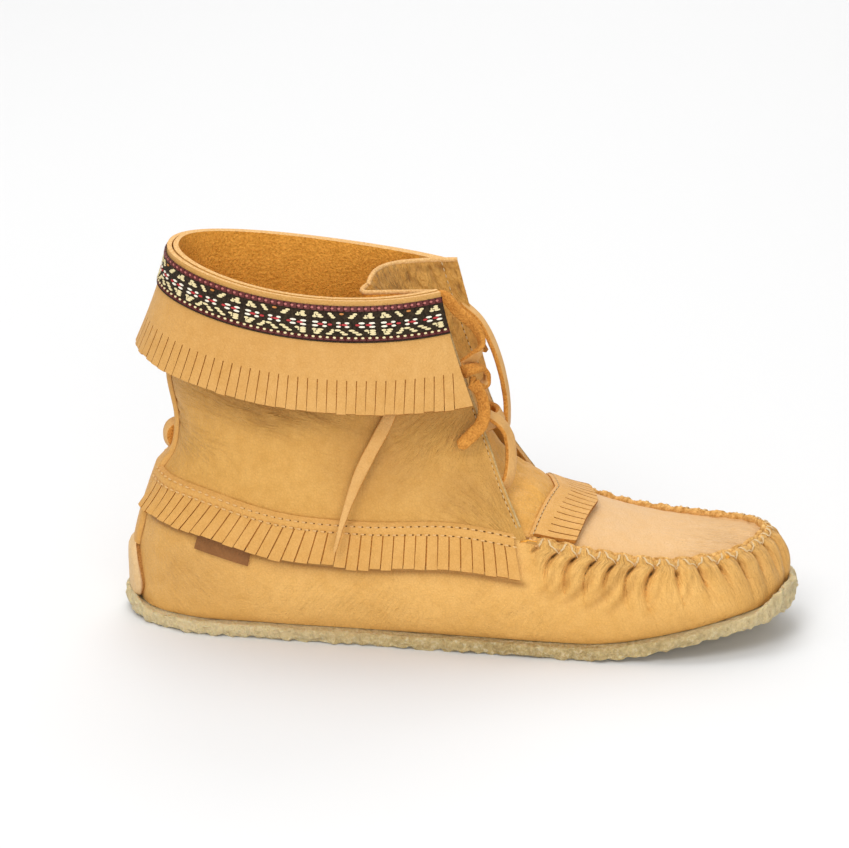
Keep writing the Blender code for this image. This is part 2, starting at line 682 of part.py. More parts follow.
def make_side_fringe(name, side, finish, home):
    faces = Faces()
    tips = (0.0100, SIDE_DROP)
    faces.strips(side_fringe(side), SIDE_STRIPS, (0.0004, SIDE_BAND), tips)
    return thicken(mesh_from(name, faces, finish, home), TRIM_LEATHER, 1.0)


def instep_surface(shares, depths):
    """Surface of the instep fringe over the rear of the plug, across and then forward."""
    fine = np.linspace(0.0, 0.4, 60)
    across = -0.90 + 1.80 * np.asarray(shares)
    whole = plug(fine, across)
    rows = np.empty((len(depths), len(across), 3))
    for j in range(len(across)):
        line = whole[:, j]
        along = np.concatenate([[0.0], np.cumsum(np.linalg.norm(np.diff(line, axis=0), axis=1))])
        for k in range(3):
            rows[:, j, k] = np.interp(depths, along, line[:, k])
    return grown(rows, 2 * GAP + 0.0004 * np.asarray(depths) / INSTEP_DROP)


def make_instep_fringe(finish, home):
    faces = Faces()
    faces.strips(instep_surface, INSTEP_STRIPS, (0.0, INSTEP_BAND), (0.0110, INSTEP_DROP))
    return thicken(mesh_from("instep_fringe", faces, finish, home), TRIM_LEATHER, 1.0)


def heel_patch(heights, halves, across):
    """Grid [height][across] on the back of the heel, halves wide to each side."""
    rows = []
    for height, half in zip(heights, halves):
        ways = rear_way(0.5 + np.asarray(across) * half / REAR_LENGTH)
        rows.append(wall(ways, np.full(len(ways), height)))
    return np.array(rows)


def make_back_stay(finish, home):
    faces = Faces()
    across = np.linspace(-1.0, 1.0, 5)
    heights = (0.415, 0.53, 0.68, 0.83, 0.95)
    low = heel_patch(heights, [STAY_HALF] * len(heights), across)
    high = shaft(0.5 + across * STAY_HALF / REAR_LENGTH, (0.0, 0.07, 0.15, 0.24, 0.44, 0.70))
    faces.grid(grown(np.concatenate([low, high]), GAP))
    return thicken(mesh_from("back_stay", faces, finish, home), TRIM_LEATHER, 1.0)


def make_heel_tab(finish, home):
    faces = Faces()
    heights = (0.055, 0.13, 0.22, 0.30, 0.36, 0.40)
    halves = (0.0135, 0.0158, 0.0152, 0.0132, 0.0108, 0.0085)
    grid = heel_patch(heights, halves, np.linspace(-1.0, 1.0, 7))
    off = GAP + 0.0008 * smoothstep(0.16, 0.40, np.array(heights))
    faces.grid(grown(grid, off))
    return thicken(mesh_from("heel_tab", faces, finish, home), TAB_THICK, 1.0)


def make_label(finish, home):
    """The blank tab that hangs from under the outer fringe."""
    faces = Faces()
    outer = FINE_SHARES < 0.5
    spans = np.interp(SIDE_TAB, FINE_SEAM[outer][::-1, 0], FINE_SHARES[outer][::-1])
    shares = np.linspace(spans[1], spans[0], 5)
    depths = (0.0134, 0.0168, 0.0220)
    grid = fall(rear_way(shares), depths)
    faces.grid(grown(grid, (GAP, GAP + 0.0002, GAP + 0.0010)))
    return thicken(mesh_from("side_tab", faces, finish, home), LABEL_THICK, 1.0)


def make_lace(name, finish, home):
    """A flat thong swept along its centreline. The ends are closed."""
    table, first_face, last_face = LACES[name]
    knots = np.array(table)
    steps = np.linalg.norm(np.diff(knots, axis=0), axis=1)
    along = np.concatenate([[0.0], np.cumsum(steps)]) / steps.sum()
    count = LACE_RINGS.get(name, 11)
    at = np.linspace(0.0, 1.0, count)
    path = hermite(along, knots, at)
    run = np.gradient(path, axis=0)
    run /= np.linalg.norm(run, axis=1, keepdims=True)
    face = np.array(first_face) + (np.array(last_face) - np.array(first_face)) * at[:, None]
    width = np.cross(run, face)
    width /= np.linalg.norm(width, axis=1, keepdims=True)
    thick = np.cross(width, run)
    section = ((0.5, 0.0), (0.38, 0.5), (-0.38, 0.5), (-0.5, 0.0), (-0.38, -0.5), (0.38, -0.5))
    narrow = 1.0 - (0.72 * smoothstep(0.45, 1.0, at) if name == "thong_end" else 0.0 * at)
    rows = []
    for i in range(count):
        ring = [
            path[i] + width[i] * a * THONG_WIDTH * narrow[i] + thick[i] * b * THONG_THICK
            for a, b in section
        ]
        rows.append(np.array(ring + ring[:1]))
    faces = Faces()
    faces.grid(rows)
    faces.face(list(rows[0][:-1]))
    faces.face(list(rows[-1][:-1]))
    return mesh_from(name, faces, finish, home)


def main():
    for leftover in list(bpy.data.objects):
        bpy.data.objects.remove(leftover, do_unlink=True)
    home = collection("fringed_moccasin")
    hide = material("tan moose hide", (0.76, 0.45, 0.16), 0.62)
    plug_hide = material("tan trim hide", (0.78, 0.48, 0.19), 0.62)
    crepe = material("crepe rubber", (0.64, 0.55, 0.32), 0.8)
    suede = material("flesh side suede", (0.60, 0.31, 0.08), 0.9)
    woven = material("woven braid", (0.10, 0.05, 0.04), 0.8)
    brown = material("brown label leather", (0.38, 0.17, 0.08), 0.6)
    thong = material("lace thong", (0.72, 0.42, 0.16), 0.75)
    make_outsole(crepe, home)
    make_upper(hide, home)
    make_insole(suede, home)
    make_tongue(hide, home)
    make_cuff(hide, home)
    make_braid(woven, home)
    make_side_fringe("fringe_outer", -1, plug_hide, home)
    make_side_fringe("fringe_inner", 1, plug_hide, home)
    make_instep_fringe(plug_hide, home)
    make_back_stay(plug_hide, home)
    make_heel_tab(plug_hide, home)
    make_label(brown, home)
    for name in LACES:
        make_lace(name, thong, home)


if __name__ == "__main__":
    main()
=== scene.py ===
"""A fringed moccasin ankle boot, dressed over its solid model.

The shapes come from the same tables of the last as the solid model, sized from its boxes, so
each piece lies where its solid does. x runs to the toe, y to the inner side, z up, in metres."""
import math
from functools import partial

import bmesh
import bpy
import numpy as np
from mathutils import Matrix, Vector


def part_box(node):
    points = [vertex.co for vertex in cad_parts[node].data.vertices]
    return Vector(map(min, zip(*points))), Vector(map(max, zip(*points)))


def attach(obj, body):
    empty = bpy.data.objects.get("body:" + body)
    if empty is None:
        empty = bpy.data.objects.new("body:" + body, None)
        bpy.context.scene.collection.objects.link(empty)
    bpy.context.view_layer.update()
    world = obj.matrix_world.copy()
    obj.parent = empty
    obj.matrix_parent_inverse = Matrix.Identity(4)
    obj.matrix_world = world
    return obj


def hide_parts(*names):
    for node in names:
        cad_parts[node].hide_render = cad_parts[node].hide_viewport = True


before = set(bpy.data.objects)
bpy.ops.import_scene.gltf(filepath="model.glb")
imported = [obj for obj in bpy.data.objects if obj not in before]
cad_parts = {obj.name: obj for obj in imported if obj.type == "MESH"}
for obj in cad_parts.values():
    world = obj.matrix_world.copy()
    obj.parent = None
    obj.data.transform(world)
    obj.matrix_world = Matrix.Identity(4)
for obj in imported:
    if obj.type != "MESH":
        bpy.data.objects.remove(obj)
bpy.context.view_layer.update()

bl_info = {
    "name": "Fringed moccasin",
    "version": (1, 0, 0),
    "blender": (4, 5, 0),
    "location": "View3D > Sidebar > Moccasin",
    "description": "Builds a gathered, fringed moccasin boot piece by piece",
    "category": "Add Mesh",
}

MM = 0.001

# ---------------------------------------------------------------- sizes from the solid model
SOLE_LOW, SOLE_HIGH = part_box("outsole")
LENGTH = (SOLE_HIGH[0] - SOLE_LOW[0]) / 0.998  # outsole, heel to toe
COLLAR_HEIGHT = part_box("upper")[1][2] / 1.010  # top of the quarters at the back of the ankle
BALL_WIDTH = 0.366 * LENGTH  # the table's unit of width
SEAM_HEIGHT = 0.1887 * LENGTH  # side seam above the floor at mid foot

CREPE = 0.0053  # outsole thickness
TOE_SPRING = 0.0112  # rise of the outsole's underside at the tip of the toe
SPRING_FROM, SPRING_TO = 0.048, 0.130  # where the underside leaves the floor and levels out
HEEL_ROCKER = 0.0020  # rise of the underside at the back of the heel
ROCKER_START = -0.114
TOE_LIP = 0.0058  # crepe turned up round the tip of the toe
HEEL_LIP = 0.0024

LEATHER = 0.0020  # upper
CUFF_LEATHER = 0.0018
TRIM_LEATHER = 0.0015  # fringes and back stay
TONGUE_LEATHER = 0.0015
TAB_THICK = 0.0026  # heel tab
LABEL_THICK = 0.0008
GAP = 0.0003  # left between pieces that touch

INSOLE_THICK = 0.0025
INSOLE_INSET = 0.0088  # from the edge of the outsole
FEATHER_INSET = 0.0046  # bottom edge of the upper, from the edge of the outsole
SEAM_DIP = 0.0016  # the plug lies this far below the gathered edge round it

CUFF_STRIPS = 80
CUFF_SLIT_FROM = 0.705  # share of the cuff's drop where its slits start
BRAID_FROM, BRAID_TO = 0.030, 0.368  # shares of the cuff's drop
SIDE_STRIPS = 36
SIDE_START = 0.016  # share of the seam left free behind the vent
SIDE_BAND = 0.0031  # depth of the uncut band of the side fringes
SIDE_DROP = 0.0158  # whole depth of the side fringes
SIDE_STAND = 0.0029  # how far their tips stand off the foot
SIDE_OFF = 1.7 * GAP  # between them and the hide
SIDE_LEAN = 0.0060  # how far their tips lean back round the heel
INSTEP_STRIPS = 18
INSTEP_BAND = 0.0055
INSTEP_DROP = 0.0172
RIDGE_END = 0.70  # share of the seam, vent to toe, beside the front end of the plug's ridge
PLUG_BOW = 0.0080  # how far the plug's rear edge bows forward in the middle
STAY_HALF = 0.009  # half the width of the back stay
SIDE_TAB = (-0.0950, -0.0748)  # the blank side tab's two ends, along X

THONG_WIDTH = 0.0050
THONG_THICK = 0.0021

# ---------------------------------------------------------------- the last, in tables
# A row for each landmark round the foot, from the back of the heel along the outer side to the
# toe and back along the inner side. The outsole's edge and the seam ring, x in shares of
# LENGTH, y in shares of BALL_WIDTH, z in shares of SEAM_HEIGHT. swell is how far the wall
# between them stands out, in millimetres.
GIRTH_COLUMNS = ("landmark", "sole_x", "sole_y", "seam_x", "seam_y", "seam_z", "swell")
GIRTH = (
    ("heel back", -0.502, 0.000, -0.447, 0.000, 1.205, 3.6),
    ("heel back outer", -0.475, -0.180, -0.426, -0.165, 1.190, 3.6),
    ("heel outer", -0.398, -0.310, -0.360, -0.287, 1.150, 3.8),
    ("heel breast outer", -0.283, -0.350, -0.257, -0.361, 1.045, 4.2),
    ("waist outer", -0.132, -0.378, -0.125, -0.392, 1.008, 4.8),
    ("mid foot outer", 0.019, -0.412, 0.008, -0.405, 1.028, 4.8),
    ("vent outer", 0.150, -0.442, 0.113, -0.392, 0.925, 4.6),
    ("ball outer", 0.275, -0.446, 0.230, -0.358, 0.790, 4.8),
    ("toe outer", 0.388, -0.378, 0.333, -0.284, 0.705, 4.4),
    ("little toe", 0.462, -0.232, 0.414, -0.152, 0.710, 4.0),
    ("toe tip", 0.496, 0.052, 0.461, 0.072, 0.760, 3.8),
    ("big toe", 0.462, 0.290, 0.432, 0.215, 0.750, 4.0),
    ("toe inner", 0.388, 0.430, 0.360, 0.290, 0.735, 4.4),
    ("ball inner", 0.258, 0.492, 0.250, 0.345, 0.765, 4.8),
    ("vent inner", 0.120, 0.450, 0.113, 0.388, 0.925, 4.8),
    ("mid foot inner", -0.020, 0.362, -0.008, 0.396, 1.028, 4.8),
    ("arch", -0.150, 0.318, -0.143, 0.376, 1.010, 4.8),
    ("heel breast inner", -0.283, 0.326, -0.264, 0.352, 1.050, 4.2),
    ("heel inner", -0.398, 0.300, -0.360, 0.283, 1.150, 3.8),
    ("heel back inner", -0.475, 0.178, -0.426, 0.163, 1.190, 3.6),
)
TOE_ROW, VENT_OUTER_ROW, VENT_INNER_ROW = 10, 6, 14

# Rings of the shaft above the seam, each an oval that is open at the front. back and front are
# its two ends, edge_y half the gap between the quarters' front edges, half_width its widest
# half at mid_x, and the sags how far the middle of each side hangs below the line between the
# ends. x and y are shares of LENGTH and BALL_WIDTH, z and the sags of COLLAR_HEIGHT. The hem is
# the cuff's.
# back_x, back_z, front_x, front_z, edge_y, half_width, mid_x, outer_sag, inner_sag
SHAFT = (
    (-0.4275, 0.445, 0.0811, 0.4147, 0.294, 0.385, -0.15, 0.000, 0.000),
    (-0.4162, 0.526, 0.0509, 0.5327, 0.196, 0.361, -0.17, 0.000, 0.000),
    (-0.4264, 0.661, 0.0170, 0.7013, 0.191, 0.347, -0.20, 0.000, 0.000),
    (-0.4185, 1.010, -0.0242, 0.9373, 0.206, 0.338, -0.22, 0.036, 0.010),
)
HEM = (-0.4690, 0.752, 0.0290, 0.6640, 0.335, 0.480, -0.20, 0.038, 0.034)

# The ridge of the plug along the middle of the foot, metres.
RIDGE_X = (0.036, 0.0535, 0.072, 0.100, 0.1225)
RIDGE_Z = (0.0554, 0.0482, 0.0422, 0.0385, 0.0378)

# Rows up the tongue above the plug: its middle, half its width, how far its edges drop and lie
# back, and how deep the gusset folds back towards the heel. Metres.
# x, z, half_width, drop, back, fold
TONGUE = (
    (0.0310, 0.0586, 0.0335, 0.0125, 0.0060, 0.0),
    (0.0225, 0.0642, 0.0305, 0.0125, 0.0080, 0.0),
    (0.0148, 0.0722, 0.0250, 0.0080, 0.0080, 0.0),
    (0.0096, 0.0820, 0.0190, 0.0030, 0.0060, 0.0),
    (0.0050, 0.0940, 0.0165, 0.0, 0.0030, 0.0040),
    (0.0003, 0.1070, 0.0160, 0.0, 0.0, 0.0140),
    (-0.0045, 0.1240, 0.0162, 0.0, 0.0, 0.0240),
    (-0.0083, 0.1375, 0.0168, 0.0, 0.0, 0.0280),
)
TONGUE_NEAR = 0.0118  # its outer front edge stops here to leave room for the laces

# Where the foot's middle lies, for telling a surface's outer side from its inner side.
INSIDE = np.array([-0.020, 0.0, 0.030])


# ---------------------------------------------------------------- curves through tables
def fields(table, headings, *names):
    """The named columns of a table, side by side."""
    return np.array([[row[headings.index(name)] for name in names] for row in table], float)


def hermite(knots, values, at, period=None):
    """Smooth curve through values at knots, read at the given places. It may be periodic."""
    knots = np.asarray(knots, float)
    values = np.asarray(values, float)
    at = np.asarray(at, float)
    if period is not None:
        knots = np.concatenate([[knots[-1] - period], knots, [knots[0] + period, knots[1] + period]])
        values = np.concatenate([values[-1:], values, values[:2]])
        at = np.mod(at, period)
    slopes = np.gradient(values, knots, axis=0)
    i = np.clip(np.searchsorted(knots, at, side="right") - 1, 0, len(knots) - 2)
    width = knots[i + 1] - knots[i]
    s = (at - knots[i]) / width
    spread = (Ellipsis,) + (None,) * (values.ndim - 1)
    width, s = width[spread], s[spread]
    return (
        (2 * s**3 - 3 * s**2 + 1) * values[i]
        + (s**3 - 2 * s**2 + s) * width * slopes[i]
        + (3 * s**2 - 2 * s**3) * values[i + 1]
        + (s**3 - s**2) * width * slopes[i + 1]
    )


def lengths_along(points):
    """How far each point lies from the first, along a line or down each column of a grid."""
    steps = np.linalg.norm(np.diff(points, axis=0), axis=-1)
    return np.concatenate([0 * steps[:1], np.cumsum(steps, axis=0)])


def read_line(at, along, points):
    """Points on a polyline at the given lengths along it."""
    return np.stack([np.interp(at, along, points[:, k]) for k in range(points.shape[1])], axis=1)


def read_columns(at, lines):
    """A grid's columns, each read at the given lengths down it."""
    return np.stack([read_line(at, lengths_along(line), line) for line in lines.swapaxes(0, 1)], axis=1)


def even(count):
    """Numbers from 0 to 1, evenly apart."""
    return np.linspace(0.0, 1.0, count)


def hump(away, width):
    """A round bump, 1 in its middle, that fades out over about its half width."""
    return np.exp(-((away / width) ** 2))


def smoothstep(low, high, value):
    """0 up to low, 1 from high on, and a smooth rise between. low may be the greater."""
    s = np.clip((np.asarray(value, float) - low) / (high - low), 0.0, 1.0)
    return s * s * (3 - 2 * s)


# ---------------------------------------------------------------- the foot's girth
SOLE_ROWS = fields(GIRTH, GIRTH_COLUMNS, "sole_x", "sole_y") * (LENGTH, BALL_WIDTH)
SEAM_ROWS = fields(GIRTH, GIRTH_COLUMNS, "seam_x", "seam_y", "seam_z")
SEAM_ROWS *= (LENGTH, BALL_WIDTH, SEAM_HEIGHT)
SWELL_ROWS = fields(GIRTH, GIRTH_COLUMNS, "swell")[:, 0] * MM
_steps = np.linalg.norm(np.roll(SOLE_ROWS, -1, axis=0) - SOLE_ROWS, axis=1)
WAY_ROWS = np.concatenate([[0.0], np.cumsum(_steps)[:-1]]) / _steps.sum()
TOE_WAY, VENT_OUTER_WAY, VENT_INNER_WAY = WAY_ROWS[[TOE_ROW, VENT_OUTER_ROW, VENT_INNER_ROW]]


def sole_edge(way):
    return hermite(WAY_ROWS, SOLE_ROWS, way, period=1.0)


def outward(way):
    """Level unit normal of the outsole's edge, pointing away from the foot."""
    step = 0.002
    along = sole_edge(np.asarray(way) + step) - sole_edge(np.asarray(way) - step)
    along = along / np.linalg.norm(along, axis=-1, keepdims=True)
    return np.stack([-along[..., 1], along[..., 0]], axis=-1) * -1.0


def outward_flat(ways):
    """The same normals as vectors in space."""
    return np.concatenate([outward(ways), np.zeros((len(ways), 1))], axis=1)


def inset_edge(way, inset):
    return sole_edge(way) - outward(way) * inset


def spring(x):
    """Height of the outsole's underside above the floor."""
    heel = np.clip((ROCKER_START - x) / (ROCKER_START + LENGTH / 2), 0.0, None)
    return TOE_SPRING * smoothstep(SPRING_FROM, SPRING_TO, x) + HEEL_ROCKER * heel**2


def lip(x):
    """How far the edge of the crepe turns up past its top face."""
    return TOE_LIP * smoothstep(0.114, 0.130, x) + HEEL_LIP * smoothstep(-0.118, -0.130, x)


def seam(way):
    return hermite(WAY_ROWS, SEAM_ROWS, way, period=1.0)


def swell(way):
    return hermite(WAY_ROWS, SWELL_ROWS, way, period=1.0)


def wall(way, height):
    """Outer face of the bottom leather, from its feather edge (0) to the seam (1)."""
    height = np.asarray(height, float)
    foot = inset_edge(way, FEATHER_INSET)
    foot = np.concatenate([foot, spring(foot[..., :1]) + CREPE + GAP], axis=-1)
    point = foot + (seam(way) - foot) * height[..., None]
    out = swell(way) * np.sin(math.pi * height**0.8)
    point[..., :2] += outward(way) * out[..., None]
    return point


# ---------------------------------------------------------------- the shaft
def at_shares(points, shares):
    """Points at the given shares of a polyline's length."""
    along = lengths_along(points)
    return read_line(shares, along / along[-1], points)


def oval(ring, shares):
    """Points on an open ring, from its outer front edge (0) round the heel to the inner (1)."""
    back_x, back_z, front_x, front_z, edge_y, half_width, mid_x, outer_sag, inner_sag = ring
    back, front, mid = back_x * LENGTH, front_x * LENGTH, mid_x * LENGTH
    half, edge = half_width * BALL_WIDTH, edge_y * BALL_WIDTH
    turn_end = math.acos(edge / half)
    nose = (front - mid) / math.sin(turn_end)
    ahead = np.linspace(turn_end, 0.0, 80)
    behind = np.linspace(0.0, math.pi / 2, 80)[1:]
    x = np.concatenate([mid + nose * np.sin(ahead), mid - (mid - back) * np.sin(behind)])
    y = np.concatenate([half * np.cos(ahead), half * np.cos(behind) ** 0.86])
    lean = (x - back) / (front - back)
    level = back_z + (front_z - back_z) * lean
    hang = 4 * lean * (1 - lean)
    outer_z = (level - outer_sag * hang) * COLLAR_HEIGHT
    inner_z = (level - inner_sag * hang) * COLLAR_HEIGHT
    outer = np.stack([x, -y, outer_z], axis=1)
    inner = np.stack([x, y, inner_z], axis=1)[::-1][1:]
    return at_shares(np.concatenate([outer, inner]), shares)


FINE_WAYS = np.linspace(VENT_OUTER_WAY, VENT_INNER_WAY - 1.0, 600)
FINE_SEAM = seam(FINE_WAYS)
REAR_LENGTH = lengths_along(FINE_SEAM)[-1]
FINE_SHARES = lengths_along(FINE_SEAM) / REAR_LENGTH


def rear_way(shares):
    """Ways at shares of the seam, from the outer vent (0) over the heel (0.5) to the inner."""
    return np.interp(shares, FINE_SHARES, FINE_WAYS)


def shaft(shares, rows):
    """Grid [row][share] of the quarters' outer face, from the seam (0) to the collar (1)."""
    controls = np.stack([seam(rear_way(shares))] + [oval(ring, shares) for ring in SHAFT])
    knots = controls[:, len(shares) // 2, 2]
    knots = (knots - knots[0]) / (knots[-1] - knots[0])
    return hermite(knots, controls, np.asarray(rows, float))


def fall(ways, depths):
    """Grid [depth][way] on the bottom leather, depth measured down along it from the seam."""
    heights = np.linspace(1.0, 0.3, 60)
    return read_columns(depths, wall(np.asarray(ways)[None, :], heights[:, None]))


def both_seams(shares):
    """Seam points at the same shares of the way from both vents to the toe."""
    outer = seam(VENT_OUTER_WAY + shares * (TOE_WAY - VENT_OUTER_WAY))
    inner = seam(VENT_INNER_WAY - shares * (VENT_INNER_WAY - TOE_WAY))
    return outer, inner


def plug(shares, across):
    """Grid [share][across] of the plug's outer face, from the throat (0) to the toe (1).

    Across runs from the outer seam (-1) over the ridge (0) to the inner seam (1). The ridge
    ends at RIDGE_END, and the shares past it fan out from there round the toe."""
    shares = np.asarray(shares, float)
    across = np.asarray(across, float)[None, :, None]
    outer, inner = both_seams(shares)
    outer_last, inner_last = both_seams(np.minimum(shares, RIDGE_END))
    middle = (outer_last + inner_last) / 2
    middle[..., 0] += PLUG_BOW * smoothstep(0.075, 0.031, middle[..., 0])
    side = np.where(across < 0, outer[:, None, :], inner[:, None, :])
    grid = side + (middle[:, None, :] - side) * (1 - np.abs(across))
    arch = 1 - np.abs(across[..., 0]) ** 2.2
    ridge = hermite(RIDGE_X, RIDGE_Z, np.clip(middle[:, 0], RIDGE_X[0], RIDGE_X[-1]))
    grid[..., 2] += np.clip(ridge + SEAM_DIP - middle[:, 2], 0.0, None)[:, None] * arch
    edge = seam(np.linspace(VENT_OUTER_WAY, VENT_INNER_WAY, 240))
    away = np.linalg.norm(grid[:, :, None, :2] - edge[None, None, :, :2], axis=3).min(axis=2)
    grid[..., 2] -= SEAM_DIP * smoothstep(0.0008, 0.005, away)
    return grid


def cuff(shares, drops):
    """Grid [drop][share] of the cuff's inner face. Below 0 it lies on top of the collar."""
    rim = oval(SHAFT[-1], shares)
    along = np.gradient(rim[:, :2], axis=0)
    level = np.stack([-along[:, 1], along[:, 0]], axis=1)
    level /= np.linalg.norm(level, axis=1, keepdims=True)
    centre = np.array([SHAFT[-1][6] * LENGTH, 0.0])
    level *= np.sign(np.sum(level * (rim[:, :2] - centre), axis=1, keepdims=True))
    hem = oval(HEM, shares)
    grid = []
    for drop in drops:
        row = rim.copy()
        row[:, 2] += GAP
        row[:, :2] += level * (GAP if drop >= 0 else -LEATHER * 0.9)
        if drop > 0:
            row += (hem - row) * np.array([drop**1.25, drop**1.25, drop])
        grid.append(row)
    return np.array(grid)


# ---------------------------------------------------------------- surfaces
def unit(vectors):
    return vectors / np.maximum(np.linalg.norm(vectors, axis=-1, keepdims=True), 1e-12)


def normals_of(grid):
    """Outward unit normals of a grid of points."""
    normal = unit(np.cross(np.gradient(grid, axis=1), np.gradient(grid, axis=0)))
    side = np.sign(np.sum(normal * (grid - INSIDE), axis=-1, keepdims=True))
    return normal * np.where(side == 0, 1.0, side)


def grown(grid, amount):
    """A grid of points moved along its outward normals. amount is by row or by point."""
    amount = np.asarray(amount, float)
    spread = amount.reshape(-1, 1, 1) if amount.ndim < 2 else amount[..., None]
    return grid + normals_of(grid) * spread


def capped(rings):
    """Rings closed at both ends by a point in the middle of the last one."""
    ends = [np.broadcast_to(ring.mean(axis=0), ring.shape)[None] for ring in (rings[0], rings[-1])]
    return np.concatenate([ends[0], rings, ends[1]])


class Patch:
    """A surface known on a fine grid, read anywhere on it by two coordinates."""

    def __init__(self, downs, alongs, grid, normals=None):
        self.downs, self.alongs, self.grid = np.asarray(downs, float), np.asarray(alongs, float), grid
        self.normals = normals_of(grid) if normals is None else normals

    def read(self, values, down, along):
        down, along = np.broadcast_arrays(np.asarray(down, float), np.asarray(along, float))
        i = np.clip(np.searchsorted(self.downs, down, side="right") - 1, 0, len(self.downs) - 2)
        j = np.clip(np.searchsorted(self.alongs, along, side="right") - 1, 0, len(self.alongs) - 2)
        u = ((down - self.downs[i]) / (self.downs[i + 1] - self.downs[i]))[..., None]
        v = ((along - self.alongs[j]) / (self.alongs[j + 1] - self.alongs[j]))[..., None]
        upper = values[i, j] * (1 - v) + values[i, j + 1] * v
        lower = values[i + 1, j] * (1 - v) + values[i + 1, j + 1] * v
        return upper * (1 - u) + lower * u

    def at(self, down, along, off=0.0):
        normal = unit(self.read(self.normals, down, along))
        return self.read(self.grid, down, along) + normal * np.asarray(off, float)[..., None]

    def facing(self, down, along):
        return unit(self.read(self.normals, down, along))


DRIFT_WAVES, DRIFT_REACH = 14, 5.3  # waves that are added up, and about how high they reach


def drift(points, size, seed):
    """Smooth noise from -1 to 1 over points in space, with bumps about the given size."""
    rng = np.random.default_rng(seed)
    waves = rng.normal(size=(DRIFT_WAVES, 3)) * (2 * math.pi / size) * 0.45
    phases = rng.uniform(0, 2 * math.pi, DRIFT_WAVES)
    total = sum(np.sin(points @ wave + phase) for wave, phase in zip(waves, phases))
    return total / DRIFT_REACH


def creases(points, table, outer):
    """Relief of listed folds, seen from one side of the shoe, and painted shade in their grooves.

    Each row of the table: x and z of both ends, how far it bows, its half width and its depth."""
    relief = np.zeros(points.shape[:-1])
    dark = np.zeros(points.shape[:-1])
    flat = points[..., (0, 2)] / MM
    near = points[..., 1] < 0.004 if outer else points[..., 1] > -0.004
    for *ends, bow, width, depth in table:
        start, end = np.array(ends, float).reshape(2, 2)
        run = end - start
        across = np.array([-run[1], run[0]]) / np.linalg.norm(run)
        best = np.full(relief.shape, 1e9)
        place = np.zeros(relief.shape)
        for t in even(13):
            knot = start + run * t + across * bow * 4 * t * (1 - t)
            away = np.linalg.norm(flat - knot, axis=-1)
            closer = away < best
            best = np.where(closer, away, best)
            place = np.where(closer, t, place)
        step = np.linalg.norm(run) / 12
        best = np.sqrt(np.maximum(best**2 - (step / 3) ** 2, 0.0))
        taper = np.sin(np.pi * np.clip(place * 0.94 + 0.03, 0, 1)) ** 0.6 * near
        groove = hump(best, width)
        shoulder = hump(best - 2.0 * width, 1.2 * width)
        relief += depth * MM * taper * (0.45 * shoulder - groove)
        dark += np.clip(0.7 * depth, 0.1, 0.6) * taper * groove
    return relief, np.clip(dark, 0.0, 1.0)


def painted_shade(points, table):
    """Painted shade over broad places of the hide. Each row of the table: x and z of the
    middle of the place, half its length and height in millimetres, and how dark."""
    soft = np.zeros(points.shape[:-1])
    for mid_x, mid_z, long, high, depth in table:
        away = ((points[..., 0] / MM - mid_x) / long) ** 2 + ((points[..., 2] / MM - mid_z) / high) ** 2
        soft = np.maximum(soft, depth * np.exp(-away))
    return soft


def fans(points, table):
    """Where fine wrinkles run: across them, along them, and how strong they are.

    Each row of the table: x and z of the spot they run together at, of the middle of the patch
    that they fill, half that patch's length and height in millimetres, and their strength."""
    flat = points[..., (0, 2)] / MM
    found = np.zeros(points.shape)
    best, second = np.zeros(flat.shape[:-1]), np.zeros(flat.shape[:-1])
    for from_x, from_z, mid_x, mid_z, long, high, strength in table:
        away = flat - (from_x, from_z)
        reach = math.hypot(mid_x - from_x, mid_z - from_z)
        turn = np.arctan2(away[..., 1], away[..., 0]) - math.atan2(mid_z - from_z, mid_x - from_x)
        turn = np.mod(turn + math.pi, 2 * math.pi) - math.pi
        share = ((flat - (mid_x, mid_z)) / (long, high)) ** 2
        weight = strength * np.exp(-share.sum(axis=-1))
        closer = weight > best
        second = np.where(closer, best, np.maximum(second, weight))
        best = np.where(closer, weight, best)
        field = np.stack([turn * reach * MM, np.linalg.norm(away, axis=-1) * MM, weight], axis=-1)
        found = np.where(closer[..., None], field, found)
    found[..., 0] += 0.7 * MM * drift(points, 0.012, 23)
    found[..., 2] = np.clip(best - second, 0.0, 1.0)
    return found


